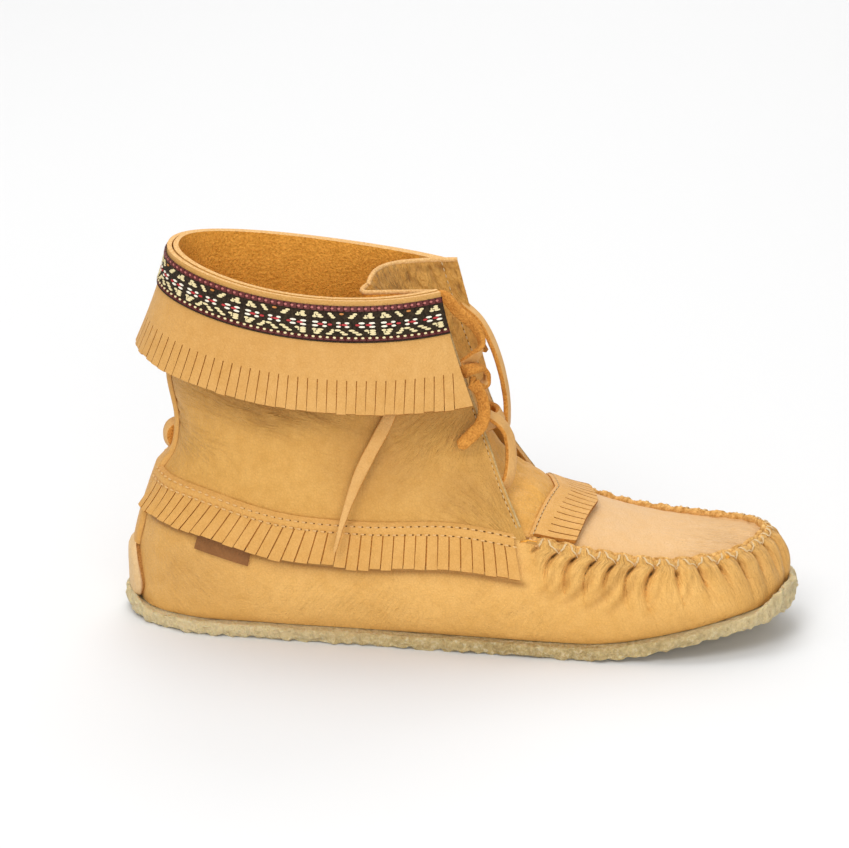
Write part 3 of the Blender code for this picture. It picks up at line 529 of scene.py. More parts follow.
# ---------------------------------------------------------------- meshes
class Sheet:
    """Grids of points gathered into one mesh. Each point has a place on the sheet, a darkness
    and a wrinkle direction, and each face a finish's number."""

    def __init__(self):
        self.points, self.places, self.darks, self.fans, self.faces, self.slots = [], [], [], [], [], []
        self.count = 0

    def grid(self, points, place=None, dark=None, fan=None):
        rows, columns = points.shape[:2]
        if place is None:
            place = np.stack(np.meshgrid(np.arange(columns), np.arange(rows)), axis=-1)
        self.points.append(points.reshape(-1, 3))
        self.places.append(np.asarray(place, float).reshape(-1, 2))
        self.darks.append(np.zeros(rows * columns) if dark is None else dark.reshape(-1))
        self.fans.append(np.zeros((rows * columns, 3)) if fan is None else fan.reshape(-1, 3))
        first = self.count + np.arange(rows - 1)[:, None] * columns + np.arange(columns - 1)
        quads = np.stack([first, first + 1, first + columns + 1, first + columns], axis=-1)
        self.faces.append(quads.reshape(-1, 4))
        self.slots.append(np.zeros(len(self.faces[-1]), int))
        self.count += rows * columns
        return self

    def mesh(self, name):
        """The mesh, its points welded where grids meet and its poles closed."""
        points = np.concatenate(self.points)
        keys = np.round(points / WELD + 0.37).astype(np.int64)
        _, first, index = np.unique(keys, axis=0, return_index=True, return_inverse=True)
        corners = np.concatenate(self.faces)
        welded = index.reshape(-1)[corners]
        pinched = (welded == np.roll(welded, -1, axis=1)).any(axis=1)
        faces, kept, used = [], [], []
        for k, (face, raw) in enumerate(zip(welded.tolist(), corners.tolist())):
            if pinched[k]:
                pick = [i for i in range(4) if face[i] != face[i - 1]]
                face, raw = [face[i] for i in pick], [raw[i] for i in pick]
                if len(face) < 3:
                    continue
            faces.append(face)
            used.extend(raw)
            kept.append(k)
        mesh = bpy.data.meshes.new(name)
        mesh.from_pydata(points[first].tolist(), [], faces)
        places = np.concatenate(self.places)[used].astype(np.float32)
        mesh.uv_layers.new(name="place").data.foreach_set("uv", places.reshape(-1))
        paint(mesh, "dark", "FLOAT", "value", np.concatenate(self.darks)[first])
        paint(mesh, "fan", "FLOAT_VECTOR", "vector", np.concatenate(self.fans)[first])
        mesh.polygons.foreach_set("material_index", np.concatenate(self.slots)[kept].astype(np.int32))
        return mesh


WELD = 4e-6  # points nearer than this become one


def paint(mesh, label, kind, field, values):
    """A named value on each point of a mesh."""
    data = mesh.attributes.new(label, kind, "POINT").data
    data.foreach_set(field, np.array(values, np.float32).reshape(-1))


def make_piece(
    name, sheet, kinds, slot=None, nodes=(), thickness=None, offset=-1.0, sharp=50.0, closed=False
):
    """A piece from a Sheet in the finishes named, turned outwards, thickened if a wall is given,
    and handed in. A wall's inner face takes the finish after its own, its rim the one after."""
    mesh = sheet.mesh(name)
    for kind in kinds:
        mesh.materials.append(finish(kind))
    face_out(mesh, closed)
    made = bpy.data.objects.new(name, mesh)
    dress().objects.link(made)
    if thickness is not None:
        wall_of = made.modifiers.new("wall", "SOLIDIFY")
        wall_of.thickness, wall_of.offset = thickness, offset
        wall_of.use_even_offset, wall_of.use_quality_normals = False, True
        wall_of.material_offset, wall_of.material_offset_rim = 1, 2
        settle(made)
    made.data.shade_smooth()
    made.data.set_sharp_from_angle(angle=math.radians(sharp))
    if slot:
        hand_in(made, slot, *nodes)
    return made


def face_out(mesh, closed):
    form = bmesh.new()
    form.from_mesh(mesh)
    if closed:
        bmesh.ops.recalc_face_normals(form, faces=form.faces)
    elif sum(f.normal.dot(f.calc_center_median() - Vector(INSIDE)) * f.calc_area() for f in form.faces) < 0:
        bmesh.ops.reverse_faces(form, faces=form.faces)
    form.to_mesh(mesh)
    form.free()


def settle(made):
    """Turns an object's modifiers into plain mesh."""
    graph = bpy.context.evaluated_depsgraph_get()
    plain = bpy.data.meshes.new_from_object(made.evaluated_get(graph))
    made.modifiers.clear()
    made.data = plain


def dress():
    """The collection that every piece goes into."""
    found = bpy.data.collections.get("moccasin_dress")
    if found is None:
        found = bpy.data.collections.new("moccasin_dress")
        bpy.context.scene.collection.children.link(found)
    return found


def hand_in(made, slot, *nodes):
    """Rides a finished piece on the shoe and hides the solids it stands for. slot is not used."""
    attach(made, "root")
    if nodes:
        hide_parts(*nodes)


# ---------------------------------------------------------------- finishes
def srgb(code):
    """A linear colour from an sRGB hex value."""
    parts = [int(code[i : i + 2], 16) / 255 for i in (1, 3, 5)]
    return (*(c / 12.92 if c <= 0.04045 else ((c + 0.055) / 1.055) ** 2.4 for c in parts), 1.0)


def fill(made, inputs):
    """Sets or links a node's inputs, by name or number. A hex value becomes a linear colour."""
    for name, value in inputs.items():
        if isinstance(value, bpy.types.NodeSocket):
            made.id_data.links.new(value, made.inputs[name])
        else:
            hexed = isinstance(value, str) and value.startswith("#")
            made.inputs[name].default_value = srgb(value) if hexed else value


def node(tree, kind, inputs=None, out=0, **settings):
    """Adds a node with its settings and inputs, and gives the output asked for."""
    made = tree.nodes.new(kind)
    for name, value in settings.items():
        setattr(made, name, value)
    fill(made, inputs or {})
    return made.outputs[out] if made.outputs else made


RGBA = {"data_type": "RGBA", "out": 2}  # how Mix blends two colours, its inputs 6 and 7
# Math adds unless it is told otherwise. A range runs from 0 to 1 unless it is given 3 or 4.
NOISE, RANGE, MATH, MIX = ("ShaderNode" + kind for kind in ("TexNoise", "MapRange", "Math", "Mix"))


def new_material(name):
    """A new material, its shader and a hand that adds nodes to it."""
    made = bpy.data.materials.new(name)
    made.use_nodes = True
    return made, made.node_tree.nodes["Principled BSDF"], partial(node, made.node_tree)


def grain_leather(name, light, deep, groove, rough=0.58, pores=1.0):
    """Soft tan hide, milled and lightly oiled, grain side out: a matt skin of pebbles about a
    millimetre across, cloudy where the tan took unevenly, and finely wrinkled where it is drawn
    together. Its folds, wrinkles and thread holes, and the places under other pieces, are darkened
    with painted shade."""
    made, shader, add = new_material(name)
    where = add("ShaderNodeTexCoord", out="Object")
    cloud = add(NOISE, {"Vector": where, "Scale": 1 / 0.045, "Detail": 3})
    cloud = add(RANGE, {0: cloud, 1: 0.3, 2: 0.7, 4: 0.5})
    mottle = add(NOISE, {"Vector": where, "Scale": 1 / 0.005, "Detail": 4, "Roughness": 0.65})
    mottle = add(RANGE, {0: mottle, 1: 0.3, 2: 0.72})
    blotch = add(MATH, {0: mottle, 1: 0.5, 2: cloud}, operation="MULTIPLY_ADD")
    colour = add(MIX, {0: blotch, 6: light, 7: deep}, **RGBA)
    pebble = add("ShaderNodeTexVoronoi", {"Vector": where, "Scale": 1 / 0.0012}, feature="DISTANCE_TO_EDGE")
    cell = add(RANGE, {0: pebble, 2: 0.35})
    pore = add(RANGE, {0: cell, 1: -3.2, 2: 0.5})
    colour = add(MIX, {0: pore, 6: groove, 7: colour}, **RGBA)
    # the wrinkles: noise stretched along them, in the places where the hide is drawn together, with painted
    # shade in their hollows
    fan = add("ShaderNodeAttribute", out="Vector", attribute_name="fan")
    strength = add("ShaderNodeSeparateXYZ", {0: fan}, 2)
    along = add("ShaderNodeVectorMath", {0: fan, 1: (1.0, 0.13, 0.0)}, operation="MULTIPLY")
    ply = add(NOISE, {"Vector": along, "Scale": 1 / 0.0013, "Detail": 3, "Roughness": 0.6})
    ply = add(MATH, {0: ply, 1: 0.5}, operation="SUBTRACT")
    pucker = add(MATH, {0: ply, 1: strength}, operation="MULTIPLY")
    wear_and_wrinkle_shade = add(RANGE, {0: pucker, 1: 0.02, 2: -0.50})
    colour = add(MIX, {0: wear_and_wrinkle_shade, 6: colour, 7: groove}, **RGBA)
    # the dark attribute darkens towards the groove colour: mostly painted shade in folds, furrows, under
    # the cuff and below the fringe tips; from 1 up it is near-black painted shade in the thread holes
    dark = add("ShaderNodeAttribute", out="Fac", attribute_name="dark")
    colour = add(MIX, {0: add(RANGE, {0: dark, 4: 0.75}), 6: colour, 7: groove}, **RGBA)
    pit = add(RANGE, {0: dark, 1: 1.0, 2: 1.7})
    colour = add(MIX, {0: pit, 6: colour, 7: "#3A220C"}, **RGBA)
    fine = add(NOISE, {"Vector": where, "Scale": 1 / 0.0007, "Detail": 2})
    wrinkle = add(NOISE, {"Vector": where, "Scale": 1 / 0.0026, "Detail": 5, "Roughness": 0.72})
    upright = add("ShaderNodeVectorMath", {0: where, 1: (1.0, 1.0, 0.35)}, operation="MULTIPLY")
    crinkle = add(NOISE, {"Vector": upright, "Scale": 1 / 0.0016, "Detail": 3, "Roughness": 0.6})
    height = add(MATH, {0: cell, 1: 0.22 * pores}, operation="MULTIPLY")
    for relief, share in ((fine, 0.9), (wrinkle, 1.9 * pores), (crinkle, 1.6 * pores), (pucker, 10.0)):
        height = add(MATH, {0: relief, 1: share, 2: height}, operation="MULTIPLY_ADD")
    fill(shader, {
        "Base Color": colour,
        "Normal": add("ShaderNodeBump", {"Height": height, "Strength": 0.8, "Distance": 0.00036}),
        "Roughness": add(RANGE, {0: mottle, 3: rough - 0.05, 4: rough + 0.08}),
        "Specular IOR Level": 0.35, "Sheen Weight": 0.1, "Sheen Roughness": 0.5, "Sheen Tint": "#F2D9AE",
    })
    return made


def suede(name, light, deep, nap=1.0, tuft_size=0.0010):
    """The flesh side of the same hide, raised by shaving: short orange nap lying in tufts, so
    it takes the light unevenly and has a soft sheen at a slant."""
    made, shader, add = new_material(name)
    where = add("ShaderNodeTexCoord", out="Object")
    patch = add(NOISE, {"Vector": where, "Scale": 1 / 0.010, "Detail": 3})
    fibre = add(NOISE, {"Vector": where, "Scale": 1 / tuft_size, "Detail": 3, "Roughness": 0.62})
    patch = add(RANGE, {0: patch, 1: 0.3, 2: 0.7, 4: 0.25})
    tuft = add(RANGE, {0: fibre, 1: 0.34, 2: 0.66, 4: 0.75})
    fill(shader, {
        "Base Color": add(MIX, {0: add(MATH, {0: patch, 1: tuft}), 6: deep, 7: light}, **RGBA),
        "Normal": add("ShaderNodeBump", {"Height": fibre, "Strength": 1.0, "Distance": 0.0011 * nap}),
        "Roughness": 0.92, "Specular IOR Level": 0.15,
        "Sheen Weight": 0.15, "Sheen Roughness": 0.6, "Sheen Tint": "#F0B060",
    })
    return made


def cut_edge(name, light, deep, size=0.0008):
    """The raw cut through the hide: pale fibre with a slightly fuzzy, uneven face."""
    made, shader, add = new_material(name)
    where = add("ShaderNodeTexCoord", out="Object")
    fibre = add(NOISE, {"Vector": where, "Scale": 1 / size, "Detail": 4, "Roughness": 0.7})
    tone = add(RANGE, {0: fibre, 1: 0.36, 2: 0.66})
    fill(shader, {
        "Base Color": add(MIX, {0: tone, 6: light, 7: deep}, **RGBA),
        "Normal": add("ShaderNodeBump", {"Height": fibre, "Strength": 0.8, "Distance": size * 0.5}),
        "Roughness": 0.85, "Specular IOR Level": 0.2,
    })
    return made


def crepe_rubber(name, light, deep, stain):
    """Natural plantation crepe, rolled from raw latex: cream to olive and a little translucent,
    with the roller's grain of crumbs a millimetre or two across and grey-brown dirt between."""
    made, shader, add = new_material(name)
    where = add("ShaderNodeTexCoord", out="Object")
    cloud = add(NOISE, {"Vector": where, "Scale": 1 / 0.016, "Detail": 3})
    cloud = add(RANGE, {0: cloud, 1: 0.3, 2: 0.7})
    crumb = add(NOISE, {"Vector": where, "Scale": 1 / 0.0018, "Detail": 4, "Roughness": 0.72})
    # palest where it turns up, at the tip of the toe and at the heel
    x = add("ShaderNodeSeparateXYZ", {0: where})
    from_waist = add(MATH, {0: add(MATH, {0: x, 1: -0.025})}, operation="ABSOLUTE")
    colour = add(MIX, {0: cloud, 6: light, 7: deep}, **RGBA)
    dirt = add(RANGE, {0: crumb, 1: 0.22, 2: 0.50})
    colour = add(MIX, {0: dirt, 6: stain, 7: colour}, **RGBA)
    # painted highlight: the crowns of the crumbs are lightened towards pale cream
    crown = add(RANGE, {0: crumb, 1: 0.52, 2: 0.76})
    colour = add(MIX, {0: crown, 6: colour, 7: "#F0E4C0"}, **RGBA)
    pale = add(RANGE, {0: from_waist, 1: 0.042, 2: 0.108, 4: 0.58})
    colour = add(MIX, {0: pale, 6: colour, 7: "#ECD8AA"}, **RGBA)
    lump = add(NOISE, {"Vector": where, "Scale": 1 / 0.0055, "Detail": 2})
    height = add(MATH, {0: lump, 1: 1.2, 2: crumb}, operation="MULTIPLY_ADD")
    fill(shader, {
        "Base Color": colour,
        "Normal": add("ShaderNodeBump", {"Height": height, "Strength": 1.0, "Distance": 0.0026}),
        "Roughness": 0.55, "Specular IOR Level": 0.4, "Subsurface Weight": 0.3,
        "Subsurface Radius": (1.0, 0.75, 0.4), "Subsurface Scale": 0.0022,
    })
    return made


def spun_thread(name, light, deep):
    """Waxed spun polyester sewing thread: matt, with a faint twist across it."""
    made, shader, add = new_material(name)
    where = add("ShaderNodeTexCoord", out="Object")
    twist = add("ShaderNodeTexWave", {"Vector": where, "Scale": 900.0, "Distortion": 2.0}, "Fac")
    fill(shader, {
        "Base Color": add(MIX, {0: twist, 6: light, 7: deep}, **RGBA),
        "Normal": add("ShaderNodeBump", {"Height": twist, "Strength": 0.4, "Distance": 0.0001}),
        "Roughness": 0.7,
    })
    return made


def woven_ground(name, dark, maroon):
    """The ribbon's ground weave: near-black warps close together, maroon along both borders."""
    made, shader, add = new_material(name)
    where = add("ShaderNodeTexCoord", out="Object")
    place = add("ShaderNodeUVMap", uv_map="place")
    across = add("ShaderNodeSeparateXYZ", {0: place}, 1)
    centred = add(MATH, {0: add(MATH, {0: across, 1: -0.5})}, operation="ABSOLUTE")
    within = add(MATH, {0: centred, 1: 0.465}, operation="LESS_THAN")
    border = add(MATH, {0: centred, 1: 0.345}, operation="GREATER_THAN")
    border = add(MATH, {0: border, 1: within}, operation="MULTIPLY")
    fleck = add(NOISE, {"Vector": where, "Scale": 1 / 0.0009, "Detail": 3})
    fleck = add(RANGE, {0: fleck, 1: 0.35, 2: 0.65})
    ground = add(MIX, {0: fleck, 6: dark, 7: "#3B2E1E"}, **RGBA)
    red = add(MIX, {0: fleck, 6: maroon, 7: "#4E2018"}, **RGBA)
    warp = add("ShaderNodeTexWave", {"Vector": place, "Scale": 120.0}, "Fac", bands_direction="X")
    weft = add("ShaderNodeTexWave", {"Vector": place, "Scale": 9.5}, "Fac", bands_direction="Y")
    weave = add(MATH, {0: warp, 1: weft}, operation="MULTIPLY")
    fill(shader, {
        "Base Color": add(MIX, {0: border, 6: ground, 7: red}, **RGBA),
        "Normal": add("ShaderNodeBump", {"Height": weave, "Strength": 0.8, "Distance": 0.0002}),
        "Roughness": 0.85, "Specular IOR Level": 0.25,
    })
    return made


def woven_float(name):
    """A figure's float: a few glossy filling yarns lying side by side over the ground."""
    made, shader, add = new_material(name)
    where = add("ShaderNodeTexCoord", out="Object")
    yarn = add("ShaderNodeAttribute", attribute_name="yarn")
    fleck = add(NOISE, {"Vector": where, "Scale": 1 / 0.0006, "Detail": 2})
    fleck = add(RANGE, {0: fleck, 1: 0.2, 2: 0.7})
    gloss = add(MIX, {0: fleck, 6: "#B9AA92", 7: "#FFFFFF"}, **RGBA)
    colour = add(MIX, {0: 0.35, 6: yarn, 7: gloss}, **RGBA, blend_type="MULTIPLY")
    fill(shader, {"Base Color": colour, "Roughness": 0.6})
    return made


def studio_floor(name):
    """Matt white paper sweep."""
    made, shader, _ = new_material(name)
    fill(shader, {"Base Color": "#DFDFDF", "Roughness": 0.9, "Specular IOR Level": 0.1})
    return made


FINISHES = {}


def finish(kind):
    """A finish by its maker's name, made once."""
    if kind not in FINISHES:
        colours = bpy.context.scene.moccasin_colours
        deep, light = code(colours.hide_deep), code(colours.hide)
        recipes = {
            "hide": (grain_leather, "milled moose hide, grain side", light, deep, "#94601F"),
            # a darker copy of the hide for the quarters: painted shade, as they lie under the cuff
            "quarter hide in painted shade": (grain_leather, "quarter hide, grain side", "#DFAB5A", "#C89342", "#8C5A20"),
            "cuff hide": (
                grain_leather, "cuff hide, grain side", "#D7A55E", "#C69148", "#9C6829", 0.6, 0.7
            ),
            "tongue hide": (grain_leather, "tongue hide, grain side", "#E8B05A", "#D0963F", "#86551E"),
            "plug hide": (
                grain_leather, "plug hide, grain side", code(colours.plug), "#DAAC70", "#B07A3A", 0.55, 0.6
            ),
            "trim hide": (grain_leather, "trim hide, grain side", "#E0AB5E", "#CD9648", "#9C6424"),
            "tab hide": (grain_leather, "heel tab hide, grain side", "#E8C896", "#DAB47C", "#A8662A"),
            "flesh": (suede, "hide, flesh side suede", code(colours.flesh), "#CE8A2E"),
            "lace flesh": (suede, "lace thong, flesh side nap", "#E6A24C", "#B06C28", 0.8, 0.0008),
            "edge": (cut_edge, "hide, cut edge", "#E6BE84", "#C9924E"),
            "flap edge": (cut_edge, "flap, folded edge", "#C8AA78", "#A0824F"),
            "brown edge": (cut_edge, "stay, burnished edge", "#B98548", "#8C5C28"),
            "raw edge": (cut_edge, "gathered raw edge", "#ECBC74", "#B27C38", 0.0016),
            # a darker copy of the cut edge: painted shade in the slits between fringe strips
            "slit": (cut_edge, "hide, inside of a slit", "#BE7C32", "#8E5822"),
            "thong": (grain_leather, "lace thong, grain side", "#E3B26E", "#CF9A52", "#A56F33", 0.6),
            "crepe": (crepe_rubber, "plantation crepe rubber", code(colours.crepe), "#C2A872", "#9A8254"),
            "tab": (grain_leather, "label leather, smooth", "#93602C", "#784A20", "#4E2E14", 0.6, 0.3),
            "thread": (spun_thread, "gathering thread, waxed", "#EAD2A6", "#C6A068"),
            "stitch": (spun_thread, "machine thread, tan", "#EAC084", "#C79A55"),
            "grey stitch": (spun_thread, "machine thread, grey tan", "#D2B88C", "#B09468"),
            # dark beads between the stitches: painted shade at the needle holes
            "needle hole": (cut_edge, "needle hole", "#74491C", "#4A2C0E"),
            "ground": (woven_ground, "jacquard ribbon, ground", "#1E150B", code(colours.maroon)),
            "float": (woven_float, "jacquard ribbon, floats"),
            "paper": (studio_floor, "white paper sweep"),
        }
        maker, *given = recipes[kind]
        FINISHES[kind] = maker(*given)
    return FINISHES[kind]


def code(colour):
    """The sRGB hex value of a colour property."""
    return "#" + "".join(f"{round(255 * channel):02X}" for channel in colour[:3])


# ---------------------------------------------------------------- what a user would change
def dye(name, description, hex_code):
    """A colour property, from an sRGB hex value."""
    default = [int(hex_code[i : i + 2], 16) / 255 for i in (1, 3, 5)]
    return bpy.props.FloatVectorProperty(
        name=name, description=description, subtype="COLOR_GAMMA", min=0.0, max=1.0, default=default
    )


def measure(name, description, millimetres):
    """A length property."""
    return bpy.props.FloatProperty(
        name=name, description=description, default=millimetres * MM, unit="LENGTH"
    )


class MoccasinColours(bpy.types.PropertyGroup):
    """Dyes and yarns."""

    hide: dye("Hide", "Grain side of the tan hide", "#EEBB6C")
    hide_deep: dye("Hide, deeper", "Where the tan took more strongly", "#DCA654")
    plug: dye("Plug", "The plug's paler hide", "#DDB480")
    flesh: dye("Suede", "Flesh side of the hide", "#FFB850")
    crepe: dye("Crepe", "Rubber of the outsole", "#D2BA84")
    maroon: dye("Braid border", "Yarn of the ribbon's two borders", "#481214")


class MoccasinSizes(bpy.types.PropertyGroup):
    """Real sizes of the stitching, the braid and the cut edges."""

    gather_depth: measure("Gather depth", "How far the gathers stand out between their threads", 3.7)
    thread: measure("Gathering thread", "Radius of the thread that draws the gathers in", 0.20)
    stitch_pitch: measure("Stitch pitch", "From one machine stitch to the next", 3.1)
    stitch_length: measure("Stitch length", "The part of a machine stitch that shows", 2.0)
    braid_cell: measure("Braid cell", "Width of one warp step of the ribbon's figure", 0.65)
    slit_open: measure("Slit", "How far neighbouring fringe strips part at their tips", 0.16)


# ---------------------------------------------------------------- geometry node trees
def new_tree(name, **sizes):
    """A geometry node tree with named inputs, its sizes at their defaults: the tree, its inputs'
    sockets by name, and a hand that adds nodes to it."""
    tree = bpy.data.node_groups.new(name, "GeometryNodeTree")
    front = tree.interface
    front.new_socket("Geometry", in_out="INPUT", socket_type="NodeSocketGeometry")
    for label, size in sizes.items():
        kind = "NodeSocketInt" if isinstance(size, int) else "NodeSocketFloat"
        front.new_socket(label, in_out="INPUT", socket_type=kind).default_value = size
    front.new_socket("Finish", in_out="INPUT", socket_type="NodeSocketMaterial")
    front.new_socket("Geometry", in_out="OUTPUT", socket_type="NodeSocketGeometry")
    return tree, tree.nodes.new("NodeGroupInput").outputs, partial(node, tree)


def close_tree(tree, given, add, geometry):
    """Ends a tree in Realize Instances and Set Material."""
    real = add("GeometryNodeRealizeInstances", {"Geometry": geometry})
    painted = add("GeometryNodeSetMaterial", {"Geometry": real, "Material": given["Finish"]})
    add("NodeGroupOutput", {0: painted})
    return tree


def strewn(add, points, piece, up, run, sizes):
    """A piece on each point, its z turned to up and its x to run, stretched to three sizes."""
    axes = {"Primary Axis": up, "Secondary Axis": run}
    turn = add("FunctionNodeAxesToRotation", axes, primary_axis="Z", secondary_axis="X")
    size = add("ShaderNodeCombineXYZ", dict(enumerate(sizes)))
    laid = {"Points": points, "Instance": piece, "Rotation": turn, "Scale": size}
    return add("GeometryNodeInstanceOnPoints", laid)


def thread_tree():
    """Thread laid along edges: a round strand of an even radius."""
    tree, given, add = new_tree("thread along a route", Radius=0.28 * MM, Sides=6)
    line = add("GeometryNodeMeshToCurve", {"Mesh": given["Geometry"]})
    ring = {"Resolution": given["Sides"], "Radius": given["Radius"]}
    ring = add("GeometryNodeCurvePrimitiveCircle", ring)
    strand = add("GeometryNodeCurveToMesh", {"Curve": line, "Profile Curve": ring, "Fill Caps": True})
    return close_tree(tree, given, add, add("GeometryNodeSetShadeSmooth", {"Geometry": strand}))


def stitch_tree():
    """Machine stitches: beads of thread one pitch apart along a route, lying along it."""
    tree, given, add = new_tree(
        "stitches along a route", Pitch=2.6 * MM, Length=1.9 * MM, Width=0.6 * MM
    )
    line = add("GeometryNodeMeshToCurve", {"Mesh": given["Geometry"]})
    up = add("GeometryNodeInputNamedAttribute", {"Name": "up"}, data_type="FLOAT_VECTOR")
    spots = add("GeometryNodeCurveToPoints", {"Curve": line, "Length": given["Pitch"]}, mode="LENGTH")
    bead = add("GeometryNodeMeshUVSphere", {"Segments": 8, "Rings": 5, "Radius": 0.5})
    sizes = given["Length"], given["Width"], given["Width"]
    laid = strewn(add, spots, bead, up, spots.node.outputs["Tangent"], sizes)
    return close_tree(tree, given, add, laid)


def float_tree():
    """Brocading floats: a lens of yarn on each point, turned to the weave and stretched to its
    own length, in the point's own colour."""
    tree, given, add = new_tree("floats of the figure", Height=0.34 * MM, Thickness=0.42 * MM)
    up, run, span = (
        add("GeometryNodeInputNamedAttribute", {"Name": label}, data_type=kind)
        for label, kind in (("up", "FLOAT_VECTOR"), ("run", "FLOAT_VECTOR"), ("span", "FLOAT"))
    )
    lens = add("GeometryNodeMeshCylinder", {"Vertices": 8, "Radius": 0.5, "Depth": 1.0})
    laid = strewn(add, given["Geometry"], lens, up, run, (span, given["Height"], given["Thickness"]))
    return close_tree(tree, given, add, laid)


def grow(name, tree, mesh, kind, slot, nodes=(), **sizes):
    """A plain mesh piece in one finish, grown by a node tree from a mesh of routes or points,
    and handed in."""
    made = bpy.data.objects.new(name, mesh)
    dress().objects.link(made)
    modifier = made.modifiers.new("tree", "NODES")
    modifier.node_group = tree
    given = {"Finish": finish(kind), **sizes}
    for socket in tree.interface.items_tree:
        if socket.in_out == "INPUT" and socket.name in given:
            modifier[socket.identifier] = given[socket.name]
    settle(made)
    hand_in(made, slot, *nodes)


def route_mesh(name, routes):
    """An edge mesh of open routes. Each route is its points and their upward normals."""
    points, ups, edges = [], [], []
    for line, up in routes:
        first = len(points)
        points.extend(line.tolist())
        ups.extend(up.tolist())
        edges.extend((first + i, first + i + 1) for i in range(len(line) - 1))
    mesh = bpy.data.meshes.new(name)
    mesh.from_pydata(points, edges, [])
    paint(mesh, "up", "FLOAT_VECTOR", "vector", ups)
    return mesh


# ---------------------------------------------------------------- the surfaces, read finely
def even_front(count):
    """Ways along the gathered seam, vent to vent round the toe, and lengths along it."""
    ways = np.linspace(VENT_OUTER_WAY, VENT_INNER_WAY, 1200)
    along = lengths_along(seam(ways))
    at = np.linspace(0.0, along[-1], count)
    return np.interp(at, along, ways), at


def shaft_patch():
    """The quarters' outer face, rows from the seam (0) to the collar (1)."""
    shares, rows = even(421), even(91)
    return Patch(rows, shares, shaft(shares, rows))


def cuff_patch(off=0.0):
    """The cuff's inner face, or one off it, drops from the collar (0) to the hem (1)."""
    shares, drops = even(481), even(41)
    grid = cuff(shares, drops)
    return Patch(drops, shares, grown(grid, off) if off else grid)


def side_patch(side):
    """Surface of a side fringe, depths from just above the seam down, shares vent to stay."""
    end = 0.5 - (STAY_HALF + 0.0006) / REAR_LENGTH
    shares = even(301)
    rear = SIDE_START + shares * (end - SIDE_START)
    depths = np.linspace(0.0, 0.020, 41)
    lean = smoothstep(0.18, 0.34, rear) * (1 - 0.9 * smoothstep(0.38, end, rear)) * SIDE_LEAN / REAR_LENGTH
    rows = []
    for depth in depths:
        back = np.clip(rear + lean * depth / SIDE_DROP, 0, end)
        rows.append(fall(rear_way(back if side < 0 else 1 - back), [depth])[0])
    low = np.array(rows)
    over = 1.6 * MM  # how far the patch reaches up over the seam
    foot, up = shaft(rear if side < 0 else 1 - rear, (0.0, 0.03))
    whole = np.concatenate([(low[0] + unit(up - foot) * over)[None], low])
    return Patch(np.concatenate([[-over], depths]), shares, whole)


def instep_patch():
    shares, depths = even(81), np.linspace(0.0, 0.024, 31)
    return Patch(depths, shares, instep_surface(shares, depths))


def instep_surface(shares, depths):
    """Surface over the rear of the plug, shares across it and depths forward from the throat."""
    rear_part = np.linspace(0.0, 0.4, 60)
    return read_columns(depths, plug(rear_part, -0.90 + 1.80 * np.asarray(shares)))


def fringe(sheet, slit_shade_sheet, patch, strips, body, tip, seed, lay, off, wall):
    """A sheet cut into strips, and narrow bands between neighbouring strips a little below their
    faces, in the darker slit finish: painted shade in the slits. body are the depths of the uncut
    band, the last where the slits start. lay sets how unevenly the strips lie, in metres, one value
    for each way of lying."""
    rng = np.random.default_rng(seed)
    pitch = 1.0 / strips
    width = np.linalg.norm(patch.at(body[-1], 0.52) - patch.at(body[-1], 0.48)) / 0.04
    cut = lay["cut"] / width
    fractions = np.array([0.0, 0.25, 0.5, 0.75, 1.0])
    columns = np.array([(k * pitch + cut) + fractions * (pitch - 2 * cut) for k in range(strips)])
    flat = columns.reshape(-1)
    body = np.asarray(body)
    down = (body - body[0]) / (body[-1] - body[0])
    lift = off - lay["tuck"] * np.clip(1 - down * 3, 0, 1) + lay["cord"] * np.sin(math.pi * down) ** 2
    whole = patch.at(body[:, None], flat[None, :], lift[:, None] + 0 * flat)
    sheet.grid(whole, np.stack(np.meshgrid(flat, body), axis=-1))
    sheet.slots[-1][: len(flat) - 1] = 3
    t = even(9)[:, None]
    before = None
    for k in range(strips):
        short = rng.normal(0, lay["length"])
        middle = columns[k].mean()
        half = (columns[k] - middle)[None, :]
        narrow = 1 - lay["open"] / width * rng.uniform(0.6, 1.5) / pitch * t**0.8
        edges = columns[k][None, :]
        rake = smoothstep(0, pitch, edges) * smoothstep(0.22, 0.03, edges)
        rake = rake - smoothstep(1, 1 - pitch, edges) * smoothstep(0.78, 0.97, edges)
        along = np.clip(middle + half * narrow + rake * lay["rake"] / width * t, 0.0, 1.0)
        down = body[-1] + (tip * (1 - short) - body[-1]) * t + 0 * half
        height = (abs(rng.normal(0, lay["lift"])) + lay["stand"]) * t**1.5
        height = height + rng.normal(0, lay["twist"]) * t * half / half.max()
        height = height + lay["cup"] * (1 - (half / half.max()) ** 2) * t
        strip = patch.at(down, along, np.maximum(off + height, off - 0.1 * MM))
        strip[0] = whole[-1, 5 * k : 5 * k + 5]
        sheet.grid(strip, np.stack([along, down], axis=-1))
        if before is not None:
            joined = zip(before, (down, along, height))
            pair = [np.stack([old[:-1, -1], new[:-1, 0]], axis=1) for old, new in joined]
            slit_shade_sheet.grid(patch.at(pair[0], pair[1], off + pair[2] + wall - lay["sunk"]))
        before = down, along, height


